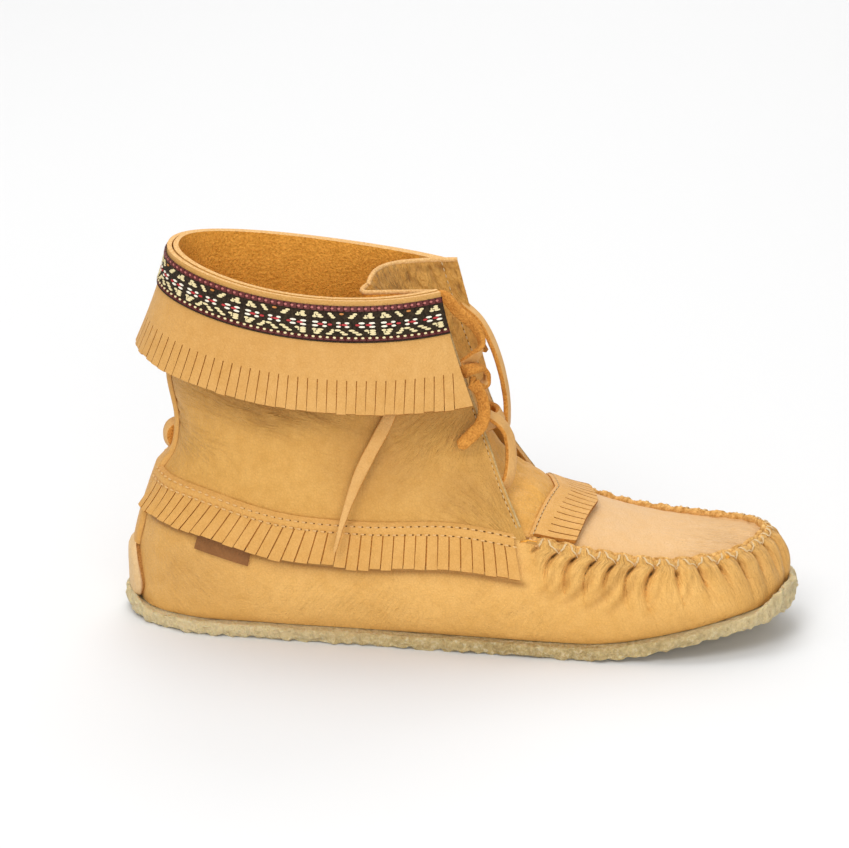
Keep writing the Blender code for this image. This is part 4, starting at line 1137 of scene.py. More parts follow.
def make_fringe(name, patch, strips, body, tip, seed, lay, off, wall, grain, slot, node_name, raised=0.0):
    """A cut fringe, and a second piece of painted shade in its slits. raised lifts the top edge onto the
    collar.
    """
    sheet, slit_shade_sheet = Sheet(), Sheet()
    lay = {"lift": 0.0001, "twist": 0.00004, "length": 0.006, "cup": 0.0001, "open": 0.00006, "cord": 0.0,
           "cut": 0.00018, "tuck": 0.0, "rake": 0.0, "stand": 0.0, "sunk": 0.0004} | lay
    fringe(sheet, slit_shade_sheet, patch, strips, body, tip, seed, lay, off, wall)
    sheet.points[0][: strips * 5, 2] += raised
    # the strips' cut sides take the slit finish, a darker copy of the cut edge: painted shade
    kinds = (grain, "flesh", "slit", grain, "flesh", "edge" if raised else grain)
    make_piece(name, sheet, kinds, slot, [node_name], thickness=wall, offset=1.0)
    make_piece(name + "_painted_slit_shade", slit_shade_sheet, ["slit"] * 3, slot, [node_name], thickness=0.3 * MM)


# ---------------------------------------------------------------- laces
# The laces' centrelines in millimetres, and the ways their grain sides face at each point or
# at both ends.
LACES = {
    "lace_bar": (
        ((9, -18.5, 84.5), (13.5, -12, 85), (16, 0, 84.6), (13.5, 9, 83.8), (8, 15, 83)),
        ((0.9, -0.3, 0.5), (0.9, 0.3, 0.5)),
    ),
    "lace_back": (
        ((-111, -1.6, 77.2), (-112.8, -2.2, 76.6), (-114, -2.2, 74.8), (-114.4, -2, 72.2),
         (-114, -1.6, 69.8), (-112.9, -1, 68)),
        ((-0.2, -0.5, 0.9), (-0.8, -0.5, 0.4), (-1, -0.5, 0.2), (-1, -0.5, -0.2),
         (-0.8, -0.5, -0.6), (-0.5, -0.5, -0.9)),
    ),
    "lace_bow": (
        ((-11, -16.2, 134), (-5.5, -16.6, 137.2), (1, -17, 131.2), (7.8, -16.6, 124.8),
         (9.8, -15.8, 119), (6.8, -15, 112.6), (2.6, -15, 108.6), (3.4, -18.8, 107.8),
         (6.4, -20.8, 109.5), (9.7, -17, 109.1), (12, -14.8, 105.8), (11.4, -15.6, 102.6),
         (8.8, -19.2, 102.6), (7.2, -22.2, 104.6), (9.2, -22.9, 102.4), (11.2, -23.2, 98),
         (11.8, -24, 94), (10.8, -25.2, 89), (7.2, -27.2, 85), (2.4, -29, 80.5)),
        ((-0.3, 1, 0.3), (-0.2, 1, 0.2), (0.1, 0.9, 0.3), (0.4, 0.7, 0.3), (0.6, 0.3, 0.3),
         (0.4, -0.7, -0.3), (0.1, -1, -0.3), (-0.2, -1, -0.2), (0.1, -0.3, 1), (0.3, 0.1, 1),
         (0.9, 0.3, 0.2), (0.4, 0.2, -0.9), (-0.2, 0.4, -0.9), (-0.6, 0.5, 0), (0.4, 0.8, 0.3),
         (0.5, 1, 0.3), (0.5, 1, 0.3), (0.4, 1, 0.3), (0.3, 1, 0.3), (0.3, 1, 0.3)),
    ),
    "lace_loop_long": (
        ((-0.6, 17.1, 124), (6.2, 15.3, 118.4), (12.2, 11.2, 109), (16, 8.2, 98.4), (18, 6.2, 87.5),
         (18.3, 3.5, 78.5)),
        ((0.7, -0.2, 0.7), (1, -0.1, 0.1)),
    ),
    "lace_loop_low": (
        ((11.5, -18.2, 91.2), (16.8, -17.2, 87.7), (20.4, -15, 81.2), (21.6, -16.2, 74.4),
         (21.6, -20.5, 69), (20.6, -21.8, 65), (18.2, -22, 62.2)),
        ((0.6, -0.4, 0.8), (0.83, -0.52, 0.21)),
    ),
    "thong_end": (
        ((-19.6, -31.2, 104), (-23.4, -33.6, 94.5), (-35.2, -40.2, 70), (-40.4, -44, 54.6),
         (-43.5, -47, 42.3)),
        ((0, -1, 0.1), (0, -1, 0.15)),
    ),
}
# A thong's cut: across and through it, in shares of its width and thickness, and what
# each face from there on is: 0 grain, 1 flesh.
THONG_CUT = (
    (0.50, 0.10, 1), (0.46, 0.40, 0), (0.36, 0.50, 0), (0.12, 0.50, 0), (-0.12, 0.50, 0),
    (-0.36, 0.50, 0), (-0.46, 0.40, 1), (-0.50, 0.10, 1), (-0.50, -0.22, 1),
    (-0.45, -0.44, 1), (-0.34, -0.50, 1), (-0.12, -0.50, 1), (0.12, -0.50, 1),
    (0.34, -0.50, 1), (0.45, -0.44, 1), (0.50, -0.22, 1),
)


def make_thong(name, nodes, tapered=False, turned=1.0, bulk=1.0):
    """A flat thong along its centreline, flesh side out past the share turned, and that line.
    A thong laid double has bulk."""
    knots, faces = (np.array(values) for values in LACES[name])
    knots *= MM
    along = lengths_along(knots)
    length = along[-1]
    along = along / length
    count = int(length / (0.9 * MM))
    at = even(count)
    path = hermite(along, knots, at)
    run = unit(np.gradient(path, axis=0))
    face = read_line(at, along if len(faces) == len(knots) else (0, 1), faces)
    width = unit(np.cross(run, face))
    for i in range(1, count):
        if width[i] @ width[i - 1] < 0:
            width[i:] *= -1
            break
    thick = np.cross(width, run)
    rng = np.random.default_rng(len(name))
    wave = np.interp(at, even(15), rng.normal(0, 0.04, 15))
    narrow = (1.0 - (0.72 * smoothstep(0.45, 1.0, at) if tapered else 0.0)) * (1 + wave)
    blunt = np.sqrt(np.clip(1 - (1 - np.clip((1 - at) * length / (2.2 * MM), 0, 1)) ** 2, 0.02, 1))
    narrow = narrow * blunt
    cut = np.array([(a, b) for a, b, _ in THONG_CUT])
    slots = np.array([side for _, _, side in THONG_CUT])
    ring = np.concatenate([cut, cut[:1]])
    rings = (
        path[:, None]
        + width[:, None] * ring[None, :, :1] * THONG_WIDTH * narrow[:, None, None]
        + thick[:, None] * ring[None, :, 1:] * THONG_THICK * bulk
    )
    rings = capped(rings)
    sides = np.tile(slots, (len(rings) - 1, 1))
    sides[int(turned * len(sides)) :] = 1
    sides[[0, -1]] = 1
    sheet = Sheet().grid(rings)
    sheet.slots[-1] = sides.reshape(-1)
    kinds = ("thong", "lace flesh")
    return make_piece(name + "_laid", sheet, kinds, "thong", nodes, sharp=60, closed=True), path


# ---------------------------------------------------------------- operators
CAMERA_AT = (0.1321, -1.3874, 0.5599)
FOCAL = 160.3  # millimetres
# Each lamp's name, where it stands, how wide it is in metres and its power in watts.
LIGHTS = (
    ("key", (-0.40, -1.25, 1.45), 0.9, 12.6),
    ("fill", (0.45, -1.75, 0.50), 1.1, 11.0),
    ("top", (-0.3, 0.3, 1.6), 1.2, 10.5),
    ("back", (0.0, 1.9, 1.5), 1.6, 16.0),
)
CAMERA_DOWN, CAMERA_ROUND = 19, 6  # degrees it looks down, and stands round towards the toe


class MOCCASIN_OT_studio(bpy.types.Operator):
    """Camera, paper sweep and soft lights"""

    bl_idname = "moccasin.studio"
    bl_label = "Studio"

    def execute(self, context):
        lens = bpy.data.cameras.new("camera")
        lens.lens, lens.sensor_width, lens.clip_start = FOCAL, 36.0, 0.1
        camera = bpy.data.objects.new("camera", lens)
        dress().objects.link(camera)
        camera.location = CAMERA_AT
        camera.rotation_euler = (math.radians(90 - CAMERA_DOWN), 0.0, math.radians(CAMERA_ROUND))
        context.scene.camera = camera
        sheet = Sheet()
        wide = np.linspace(-3.0, 3.0, 3)
        turn = np.radians(np.linspace(0, 90, 9))
        bend = [(2.4 + 0.6 * math.sin(a), 0.6 - 0.6 * math.cos(a)) for a in turn]
        back = [(-3.0, 0.0), *bend, (3.0, 3.0)]
        sheet.grid(np.array([[(x, y, z) for x in wide] for y, z in back]))
        floor = make_piece("paper_sweep", sheet, ["paper"])
        floor.data.flip_normals()
        for name, place, size, power in LIGHTS:
            lamp = bpy.data.lights.new(name, "AREA")
            lamp.shape, lamp.size, lamp.energy = "DISK", size, power
            made = bpy.data.objects.new(name, lamp)
            dress().objects.link(made)
            made.location = place
            aim = Vector((0.0, 0.7 if name == "back" else 0.0, 0.06)) - Vector(place)
            made.rotation_euler = aim.to_track_quat("-Z", "Y").to_euler()
        world = bpy.data.worlds.new("studio")
        world.use_nodes = True
        fill(world.node_tree.nodes["Background"], {"Color": "#FFFFFF", "Strength": 0.60})
        context.scene.world = world
        context.scene.view_settings.view_transform = "Standard"
        return {"FINISHED"}


class MOCCASIN_OT_laces(bpy.types.Operator):
    """Laces of flat thong, grain one side and nap the other"""

    bl_idname = "moccasin.laces"
    bl_label = "Laces"

    def execute(self, context):
        for name, far_end, nodes, *manner in (
            ("lace_bow", "knot", ("lace_loop_top", "lace_knot", "lace_end"), False, 0.66),
            ("lace_loop_long", "object", ("lace_loop_long",)),
            ("lace_loop_low", "object", ("lace_loop_low",)),
            ("thong_end", "bare", ("thong_end",), True),
        ):
            made, path = make_thong(name, nodes, *manner)
        make_thong("lace_bar", ["lace_bar"])
        make_thong("lace_back", ["lace_back"], bulk=1.9)
        return {"FINISHED"}


def under_ring(inset, height, count):
    """A level ring in from the outsole's edge, bent up with its underside, and its ways."""
    ways = even(count + 1)
    ring = inset_edge(ways, inset)
    return np.concatenate([ring, spring(ring[..., :1]) + height], axis=-1), ways


# Rows of the outsole, from underfoot over its edge to the foot bed: millimetres in from the
# edge, shares of the crepe's thickness and of its turned-up lip, and how rough it is there.
OUTSOLE_ROWS = (
    (30, 0, 0, 0), (18, 0, 0, 0), (6, 0, 0, 0), (1.6, 0, 0, 0.2), (0.4, 0, 0, 0.6),
    (0, 0.18, 0.18, 1), (0, 0.36, 0.36, 1), (0, 0.55, 0.55, 1), (0, 0.74, 0.74, 1),
    (0, 0.9, 0.9, 1), (0.4, 1, 1, 0.8), (1.4, 1, 1, 0.6), (2.6, 1, 0.55, 0.3), (4, 1, 0, 0.1),
    (12, 1, 0, 0), (30, 1, 0, 0),
)


class MOCCASIN_OT_outsole(bpy.types.Operator):
    """Crepe outsole: bumpy rolled edge, turned up at the toe and heel"""

    bl_idname = "moccasin.outsole"
    bl_label = "Outsole"

    def execute(self, context):
        count = 960
        rows = []
        for inset, share, turned, _ in OUTSOLE_ROWS:
            ring, ways = under_ring(inset * MM, 0.0, count)
            ring[:, :2] += outward(ways) * (0.4 * MM * math.sin(math.pi * share))
            ring[:, 2] += share * CREPE + turned * lip(ring[:, 0])
            rows.append(ring)
        grid = np.array(rows)
        edge = np.array([rough for *_, rough in OUTSOLE_ROWS])[:, None]
        bump = 0.60 * MM * drift(grid, 0.0055, 5) + 0.60 * MM * drift(grid, 0.0024, 6)
        bump += 0.8 * MM * smoothstep(0.105, 0.130, grid[..., 0]) * (1 + drift(grid, 0.0034, 10))
        out = outward_flat(ways)[None]
        grid = grid + out * (bump * edge - 0.35 * MM * edge)[..., None]
        grid[5:12, :, 2] += 0.3 * MM * drift(grid[5:12], 0.006, 7)
        wear_and_wrinkle_shade = np.clip(0.5 + 0.9 * drift(grid[:7], 0.0042, 8) + 0.5 * drift(grid[:7], 0.002, 9), 0, 1.4)
        grid[:7, :, 2] += 0.9 * MM * wear_and_wrinkle_shade * np.array([0, 0, 0.1, 0.55, 1.0, 0.7, 0.35])[:, None]
        grid[:, :, 2] = np.maximum(grid[:, :, 2], 0.0)
        sheet = Sheet().grid(capped(grid))
        make_piece("outsole_crepe", sheet, ["crepe"], "crepe", ["outsole"], sharp=60, closed=True)
        return {"FINISHED"}


# Where the gathering thread draws the hide in, in millimetres along the seam from the outer
# vent round the toe.
GATHERS = MM * np.array((
    3.6, 11.9, 19.3, 26.8, 34.3, 41.9, 49.7, 58.2, 66.8, 75.6, 84.4, 92.9, 100.6, 107.4, 114.0,
    121.4, 129.4, 137.6, 145.8, 153.7, 161.4, 169.2, 176.9, 184.7, 192.4, 200.2, 208.4, 213.8,
))
TOE_AT = 111.3 * MM
CROWN = 3.8 * MM  # how far under the seam the gathers stand out most
PIERCED = 3.4 * MM  # and where the thread goes through
ROLLED = 9  # rows of the edge that is turned over the seam


class BottomHide:
    """The bottom leather's surface, with its gathers, kept for the thread that follows it."""

    columns_front, columns_rear = 430, 190

    def __init__(self, full):
        """full is how far the gathers stand out."""
        front, at = even_front(self.columns_front)
        back = np.linspace(VENT_INNER_WAY, VENT_OUTER_WAY + 1.0, self.columns_rear)[1:-1]
        ways = np.concatenate([front, back, front[:1] + 1.0])
        self.at = at
        self.last = at[-1]
        u = even(46)
        depths = (0.35 * u + 0.65 * u * u)[::-1]
        pad = 3
        wide = np.concatenate([ways[-1 - pad : -1] - 1.0, ways, ways[1 : 1 + pad] + 1.0])
        lines = wall(wide[None, :], even(90)[:, None])
        along = lengths_along(lines)
        fall_of = along[-1] * depths[:, None]
        rise = along[-1] - fall_of
        drawn = [read_line(rise[:, j], along[:, j], lines[:, j]) for j in range(len(wide))]
        base = np.stack(drawn, axis=1)
        normal = normals_of(base)[:, pad:-pad]
        base, fall_of = base[:, pad:-pad], fall_of[:, pad:-pad]
        self.ways, self.count = ways, len(ways)
        where = np.concatenate([at, np.full(len(back), -1.0), at[:1]])
        self.front = where >= 0
        relief, dark, self.swelling = self.gathers(where, fall_of, full)
        relief += 0.35 * MM * drift(base, 0.030, 21) * smoothstep(0.0, 0.012, fall_of)
        relief += 0.12 * MM * drift(base, 0.008, 22)
        for outer, share in ((True, 1.0), (False, 0.5)):
            fold, shade_of = creases(base, BOTTOM_FOLDS, outer)
            relief += fold * share
            dark += shade_of * share
        relief *= smoothstep(0.0, 0.0015, np.linalg.norm(base - base[:1], axis=2))
        self.grid = base + normal * relief[..., None]
        self.fan[..., 0] += 0.5 * MM * drift(base, 0.009, 24)
        # painted shadow of the side fringe: a dark band on the hide just below its tips
        share = np.concatenate([0 * front, even(self.columns_rear)[1:-1], [0.0]])
        fringed = smoothstep(0.004, 0.02, share) * smoothstep(0.996, 0.98, share)
        fringed *= smoothstep(0.02, 0.035, abs(share - 0.5))
        fringe_shadow = 0.95 * fringed * hump(fall_of - SIDE_DROP - 1.7 * MM, 1.3 * MM)
        self.dark = np.clip(dark + fringe_shadow + painted_shade(base, BOTTOM_SHADES), 0, 1.7)
        more = fans(base, BOTTOM_FANS)
        stronger = more[..., 2] > self.fan[..., 2]
        weight = abs(more[..., 2] - self.fan[..., 2])
        self.fan = np.where(stronger[..., None], more, self.fan)
        self.fan[..., 2] = weight
        self.roll()

    def gathers(self, where, fall_of, full):
        """Bulges between the drawn-in places, and the furrows that run down from them, with painted shade
        in the furrows and the thread holes.
        """
        rng = np.random.default_rng(4)
        marks = GATHERS
        from_vent = np.minimum(where, self.last - where)
        lean = (1.10 * smoothstep(0.066, 0.040, from_vent) + 0.10) * np.sign(TOE_AT - where)
        lean *= smoothstep(0.0, 0.012, np.abs(TOE_AT - where))
        drop = np.clip(fall_of - 1.5 * MM, 0.0, None)
        shifted = where[None, :] + lean[None, :] * 8.0 * MM * (1 - np.exp(-drop / (6.5 * MM)))
        i = np.clip(np.searchsorted(marks, shifted) - 1, 0, len(marks) - 2)
        f = np.clip((shifted - marks[i]) / (marks[i + 1] - marks[i]), 0.0, 1.0)
        bulge = np.sqrt(np.clip(1 - np.abs(2 * f - 1) ** 2.2, 0, 1))
        run_out = rng.choice((6.0, 7.5, 9.0, 15.0), len(marks))[i] * MM
        near = 0.12 + 0.88 * hump(fall_of - CROWN, 2.5 * MM)
        far = hump(fall_of - CROWN, run_out)
        height = full * rng.uniform(0.8, 1.15, len(marks))[i]
        relief = height * np.where(fall_of < CROWN, near, far) * (bulge - 0.45)
        dark = np.zeros(fall_of.shape)
        reach = rng.choice((7.0, 10.0, 14.0, 26.0), len(marks)) * MM
        deep = rng.uniform(0.6, 1.2, len(marks))
        wander = rng.normal(0, 1.6 * MM, len(marks))
        for k, mark in enumerate(marks):
            bend = wander[k] * smoothstep(0.003, 0.02, fall_of)
            away = np.abs(shifted - mark - bend)
            sigma = (0.70 + 1.8 * np.clip(fall_of / (16 * MM), 0, 1)) * MM
            line = hump(away, sigma) * hump(fall_of, reach[k])
            relief -= 1.1 * MM * deep[k] * line * smoothstep(-0.0005, 0.0015, fall_of)
            # painted shade: a tight dark line down the middle of each furrow
            tight = hump(away, 0.5 * MM) * hump(fall_of, reach[k] * 0.6)
            dark += 0.65 * tight
            # the dent where the thread goes through, with near-black painted shade in it
            hole = np.exp(-((away / (0.7 * MM)) ** 2 + ((fall_of - PIERCED) / (1.1 * MM)) ** 2))
            relief -= 1.1 * MM * hole
            dark += 0.85 * hole
        ends = smoothstep(-0.001, 0.004, where) * smoothstep(self.last + 0.001, self.last - 0.004, where)
        on = np.where(self.front, ends, 0.0)
        strength = np.exp(-fall_of / (9.0 * MM)) + 0.25 * np.exp(-fall_of / (26.0 * MM))
        self.fan = np.stack([shifted, fall_of, np.clip(strength, 0, 1) * on], axis=-1)
        return relief * on, np.clip(dark, 0, 1.7) * on, bulge[-1] * on

    def roll(self):
        """The gathered edge turned over onto the plug."""
        edge = self.grid[-1]
        out = outward_flat(self.ways)
        up = np.array([0.0, 0.0, 1.0])
        on = smoothstep(0.0, 1.0, self.front.astype(float)) * np.where(
            self.front, 0.25 + 0.75 * np.clip(self.swelling * 2, 0, 1), 0.15
        )
        radius = (1.6 * MM * (0.50 + 0.78 * self.swelling)) * np.where(self.front, 1.0, 0.25)
        line = seam(self.ways)
        centre = line - out * (1.7 * MM) * on[:, None] - up * 0.3 * MM
        angles = np.radians(np.linspace(12, 215, ROLLED))
        rows = np.array(
            [centre + radius[:, None] * (math.cos(a) * out + math.sin(a) * up * 0.95) for a in angles]
        )
        rear = ~self.front
        rows[:, rear] = edge[rear] - out[rear] * np.linspace(0.0001, 0.001, ROLLED)[:, None, None]
        self.grid = np.concatenate([self.grid, rows])
        self.fan = np.concatenate([self.fan, np.repeat(self.fan[-1:], ROLLED, axis=0)])
        # painted shade inside the roll, where the gathers are drawn tight
        tight = np.clip(1.0 - 2.2 * self.swelling, 0, 1) * self.front
        fade = np.linspace(1, 0.6, ROLLED)[:, None]
        self.dark = np.concatenate([self.dark, 0.8 * tight[None] * fade])


BOTTOM_FOLDS = (
    (41, 36, 34, 26, 0.8, 1.2, 0.45),
    (48, 35.5, 38, 24.5, 1, 1.3, 0.60),
    (56.5, 36.5, 44, 23.5, 1.2, 1.4, 0.75),
    (62.5, 36.5, 54.5, 26.5, 1, 1.2, 0.55),
    (67, 36.5, 52.5, 21.5, 1.5, 1.5, 0.85),
    (72, 35, 61, 19.5, 1.2, 1.4, 0.65),
    (81, 32.5, 77.5, 22, 0.6, 1.1, 0.40),
    (92.5, 31.5, 90.5, 23, 0.4, 1.1, 0.35),
    (44, 32, 22, 17, 1, 1.2, 0.20),
    (16, 30, 2, 14, -1, 1.4, 0.20),
    (-108, 32, -116, 18, 1, 1, 0.2),
    (-104, 31, -111, 17, 1, 1, 0.15),
)

# Broad painted shade on the bottom hide at the heel, the waist and the toe.
BOTTOM_SHADES = (
    (-104, 26, 30, 18, 0.42),
    (-60, 34, 40, 7, 0.25),
    (122, 30, 20, 16, 0.35),
    (96, 14, 26, 9, 0.22),
)

BOTTOM_FANS = (
    (75, 182, -40, 17, 42, 13, 0.34),
    (-240, 162, -100, 24, 16, 15, 0.30),
    (125, 193, 27, 18, 27, 12, 0.34),
)

KEPT = {}


class MOCCASIN_OT_bottom(bpy.types.Operator):
    """Bottom hide, gathered round the toe and rolled over the seam"""

    bl_idname = "moccasin.bottom"
    bl_label = "Bottom hide"

    def execute(self, context):
        hide = BottomHide(context.scene.moccasin_sizes.gather_depth)
        KEPT["hide"] = hide
        sheet = Sheet().grid(hide.grid, dark=hide.dark, fan=hide.fan)
        sheet.slots[-1][-3 * (hide.count - 1) :] = 2
        kinds = ("hide", "flesh", "raw edge")
        make_piece("bottom_hide", sheet, kinds, "hide", ["upper"], thickness=1.2 * MM, sharp=70)
        return {"FINISHED"}


class MOCCASIN_OT_plug(bpy.types.Operator):
    """Plug that closes the top of the toe, drawn in under the gathers"""

    bl_idname = "moccasin.plug"
    bl_label = "Plug"

    def execute(self, context):
        shares = even(150)
        across = np.sin(np.linspace(-1, 1, 101) * math.pi / 2 * 0.9) / math.sin(math.pi / 2 * 0.9)
        base = plug(shares, across)
        relief = 0.25 * MM * drift(base, 0.022, 31) + 0.07 * MM * drift(base, 0.006, 32)
        at, ways = KEPT["hide"].at, KEPT["hide"].ways
        edge = seam(np.interp(GATHERS, at, ways[: len(at)]))
        for k, spot in enumerate(edge):
            away = np.linalg.norm(base - spot, axis=2)
            relief -= (0.55 + 0.2 * math.sin(3 * k)) * MM * hump(away, 4.2 * MM)
        folds, dark = creases(base, PLUG_FOLDS, True)
        relief += folds
        fade = smoothstep(1.0, 0.97, np.abs(across))[None, :]
        grid = base + normals_of(base) * (relief * fade)[..., None]
        sheet = Sheet()
        fan = np.stack([grid[..., 1], grid[..., 0], 0.7 * smoothstep(0.070, 0.108, grid[..., 0])], axis=-1)
        fan[..., 0] += 0.8 * MM * drift(grid, 0.014, 33)
        sheet.grid(grid, dark=dark, fan=fan)
        kinds = ("plug hide", "flesh", "edge")
        make_piece("plug", sheet, kinds, "hide", ["upper"], thickness=1.6 * MM, sharp=60)
        return {"FINISHED"}


PLUG_FOLDS = (
    (96, 38.5, 112, 37.5, 0.5, 1, 0.12),
    (98, 36.6, 112, 36.2, 0.4, 0.9, 0.12),
    (90, 40.2, 108, 38.4, 0.5, 1, 0.10),
)

QUARTER_FOLDS = (
    (-98, 104, -58, 88, 2, 1, 0.35),
    (-96, 100, -60, 84, 2, 0.9, 0.30),
    (-92, 97, -64, 84.5, 1.5, 0.9, 0.25),
    (-86, 93, -62, 81, 1.5, 0.9, 0.25),
    (-80, 98, -48, 86, 1.5, 0.9, 0.30),
    (-76, 101, -40, 88, 1.5, 1, 0.25),
    (-66, 97, -34, 86, 1, 1, 0.25),
    (-120, 92, -104, 86, 0.5, 0.9, 0.3),
    (-119, 87, -104, 82, 0.5, 0.9, 0.3),
    (-117, 81, -103, 78, 0.5, 0.9, 0.25),
    (25, 54, 14, 72, 1, 1, 0.22),
    (24, 53, 9, 79, 1.5, 1, 0.2),
    (22, 53, 3, 70, 1, 0.9, 0.18),
    (20, 52, 0, 62, 0.6, 0.9, 0.15),
)


# Broad painted shade on the quarters: mostly the cuff's shadow below its front and round the thong, a
# little at the heel.
QUARTER_SHADES = (
    (-68, 97, 42, 8, 0.45),
    (-10, 92, 30, 12, 0.42),
    (-25, 76, 22, 18, 0.46),
    (6, 64, 22, 14, 0.36),
    (-116, 90, 9, 16, 0.15),
)
QUARTER_FANS = (
    (29, 43, 14, 60, 24, 17, 0.75),
    (19, 112, -6, 82, 34, 16, 0.85),
    (318, -16, -66, 93, 44, 11, 0.85),
    (318, -16, -40, 78, 22, 14, 0.45),
    (-124, 85, -102, 77, 15, 9, 0.8),
)


class MOCCASIN_OT_quarters(bpy.types.Operator):
    """Quarters, from the seam to the collar, open at the front"""

    bl_idname = "moccasin.quarters"
    bl_label = "Quarters"

    def execute(self, context):
        patch = shaft_patch()
        rows = even(84)
        shares = even(301)
        base = patch.at(rows[:, None], shares[None, :])
        normal = patch.facing(rows[:, None], shares[None, :])
        outer, dark = creases(base, QUARTER_FOLDS, True)
        inner, more = creases(base, QUARTER_FOLDS, False)
        relief = outer + inner
        relief += 0.30 * MM * drift(base, 0.028, 41) + 0.08 * MM * drift(base, 0.007, 42)
        relief *= smoothstep(0.0, 0.05, rows)[:, None] * smoothstep(1.0, 0.9, rows)[:, None]
        grid = base + normal * relief[..., None]
        top = grid[-1] + np.array([0.0, 0.0, 1.5 * MM])
        grid = np.concatenate([grid, top[None]])
        # painted shade in the folds, and broad painted shade, mostly under the cuff
        dark = np.clip(np.concatenate([dark + more, 0 * dark[:1]]), 0, 1)
        dark = np.clip(dark + painted_shade(grid, QUARTER_SHADES), 0, 1)
        sheet = Sheet().grid(grid, dark=dark, fan=fans(grid, QUARTER_FANS))
        gusset = (shares[:-1] < 0.03) | (shares[:-1] > 0.95)
        sheet.slots[-1][:] = np.where(np.tile(gusset, len(grid) - 1), 3, 0)
        kinds = ("quarter hide in painted shade", "flesh", "edge", "quarter hide in painted shade", "tongue hide", "edge")
        make_piece("quarters", sheet, kinds, "hide", ["upper"], thickness=LEATHER)
        return {"FINISHED"}


def tongue_row(row, count):
    """Points across the tongue. A fold turns the arc into a pleat that points to the heel."""
    x, z, half, drop, back, fold = row
    share = np.linspace(-1.0, 1.0, count)
    arc = np.stack([x - back * share**2, half * share, z - drop * share**2], axis=1)
    if fold <= 0.0:
        return arc
    bend = 0.0025
    tip_x, tip_y = x - fold, -0.0152
    near = np.linspace((x, -TONGUE_NEAR), (tip_x + bend, tip_y), 8)
    turns = np.linspace(0.0, math.pi, 9)[1:-1]
    nose = [(tip_x + bend - bend * math.sin(a), tip_y + bend - bend * math.cos(a)) for a in turns]
    start, end = np.array([tip_x + bend, tip_y + 2 * bend]), np.array([x, half])
    s = even(14)[:, None]
    far = start + (end - start) * s + np.array([-0.25, 0.215]) * fold * 4 * s * (1 - s)
    line = at_shares(np.concatenate([near, nose, far]), even(count))
    folded = np.concatenate([line, np.full((count, 1), z)], axis=1)
    return arc + (folded - arc) * smoothstep(0.0, 0.010, fold)


class MOCCASIN_OT_tongue(bpy.types.Operator):
    """Tongue, pleated at its outer side, and the insole"""

    bl_idname = "moccasin.tongue"
    bl_label = "Tongue and insole"

    def execute(self, context):
        count = 121
        share = np.linspace(-1.0, 1.0, count)
        below = LEATHER + 2 * GAP + TONGUE_LEATHER / 2
        under = grown(plug(np.array([0.0, 0.06, 0.13]), share * 0.90), -below)
        knots = np.array([*under[::-1], *(tongue_row(row, count) for row in TONGUE)])
        along = lengths_along(knots).mean(axis=1)
        at = np.linspace(0.0, along[-1], 110)
        grid = hermite(along, knots, at)
        high = smoothstep(0.55, 0.95, at / at[-1])[:, None]
        grid[..., 2] += 4.2 * MM * smoothstep(-0.26, 0.04, share)[None, :] * high
        reach = smoothstep(0.50, 1.0, share)[None, :] * smoothstep(0.40, 0.60, at / at[-1])[:, None]
        grid[..., 0] += 5.4 * MM * reach
        grid[..., 1] += 1.2 * MM * reach
        wave = 0.5 * MM * drift(grid * (1.6, 1.6, 0.35), 0.011, 51)
        wave += 0.35 * MM * drift(grid * (1, 1, 0.5), 0.006, 52)
        wave *= smoothstep(0.0, 0.03, at)[:, None]
        hem = hump(at - at[-1] + 4.0 * MM, 0.7 * MM)[:, None]
        wave = wave - 0.35 * MM * hem
        throat = along[2]
        wave = wave + 2.3 * MM * hump(at - throat - 1.5 * MM, 4.5 * MM)[:, None]
        across, up = np.gradient(grid, axis=1), np.gradient(grid, axis=0)
        grid = grid + unit(np.cross(across, up)) * wave[..., None]
        sheet = Sheet()
        fan = np.zeros(grid.shape)
        fan[..., 0] = share * 17 * MM + 0.6 * MM * drift(grid, 0.010, 53)
        fan[..., 1] = at[:, None]
        fan[..., 2] = 0.3 + 1.5 * high
        # painted shade: the upper tongue, down inside the shaft, and the groove under its hem
        dark = np.clip(0.30 * smoothstep(0.50, 0.72, at / at[-1])[:, None] + 0.5 * hem, 0, 1)
        sheet.grid(grid, dark=dark + 0 * share, fan=fan)
        KEPT["tongue"] = Patch(at, share, grid, unit(np.cross(across, up)))
        kinds = ("tongue hide", "flesh", "edge")
        make_piece("tongue_hide", sheet, kinds, "hide", ["tongue"], thickness=TONGUE_LEATHER, offset=0.0)
        rise, crown = CREPE + GAP + LEATHER + GAP, INSOLE_THICK + 0.4 * MM
        rows = (
            (0.0300, 0.0), (INSOLE_INSET, 0.0), (INSOLE_INSET - 0.0002, INSOLE_THICK * 0.5),
            (INSOLE_INSET + 0.0006, INSOLE_THICK), (0.0200, crown), (0.0300, crown),
        )
        rings = np.array([under_ring(inset, rise + high, 240)[0] for inset, high in rows])
        sheet = Sheet().grid(capped(rings))
        make_piece("insole_suede", sheet, ["flesh"], "suede", ["insole"], closed=True)
        return {"FINISHED"}


class MOCCASIN_OT_cuff(bpy.types.Operator):
    """Turned-down cuff, cut into a fringe along its hem"""

    bl_idname = "moccasin.cuff"
    bl_label = "Cuff"

    def execute(self, context):
        opened = 0.6 * context.scene.moccasin_sizes.slit_open
        lay = {"open": opened, "rake": 0.0034, "cut": 0.0002, "length": 0.005}
        body = np.linspace(0.0, CUFF_SLIT_FROM, 34)
        make_fringe("cuff_fringe", cuff_patch(GAP), CUFF_STRIPS, body, 1.0, 61, lay, 0.0, CUFF_LEATHER,
                    "cuff hide", "hide", "cuff", raised=0.9 * MM)
        return {"FINISHED"}


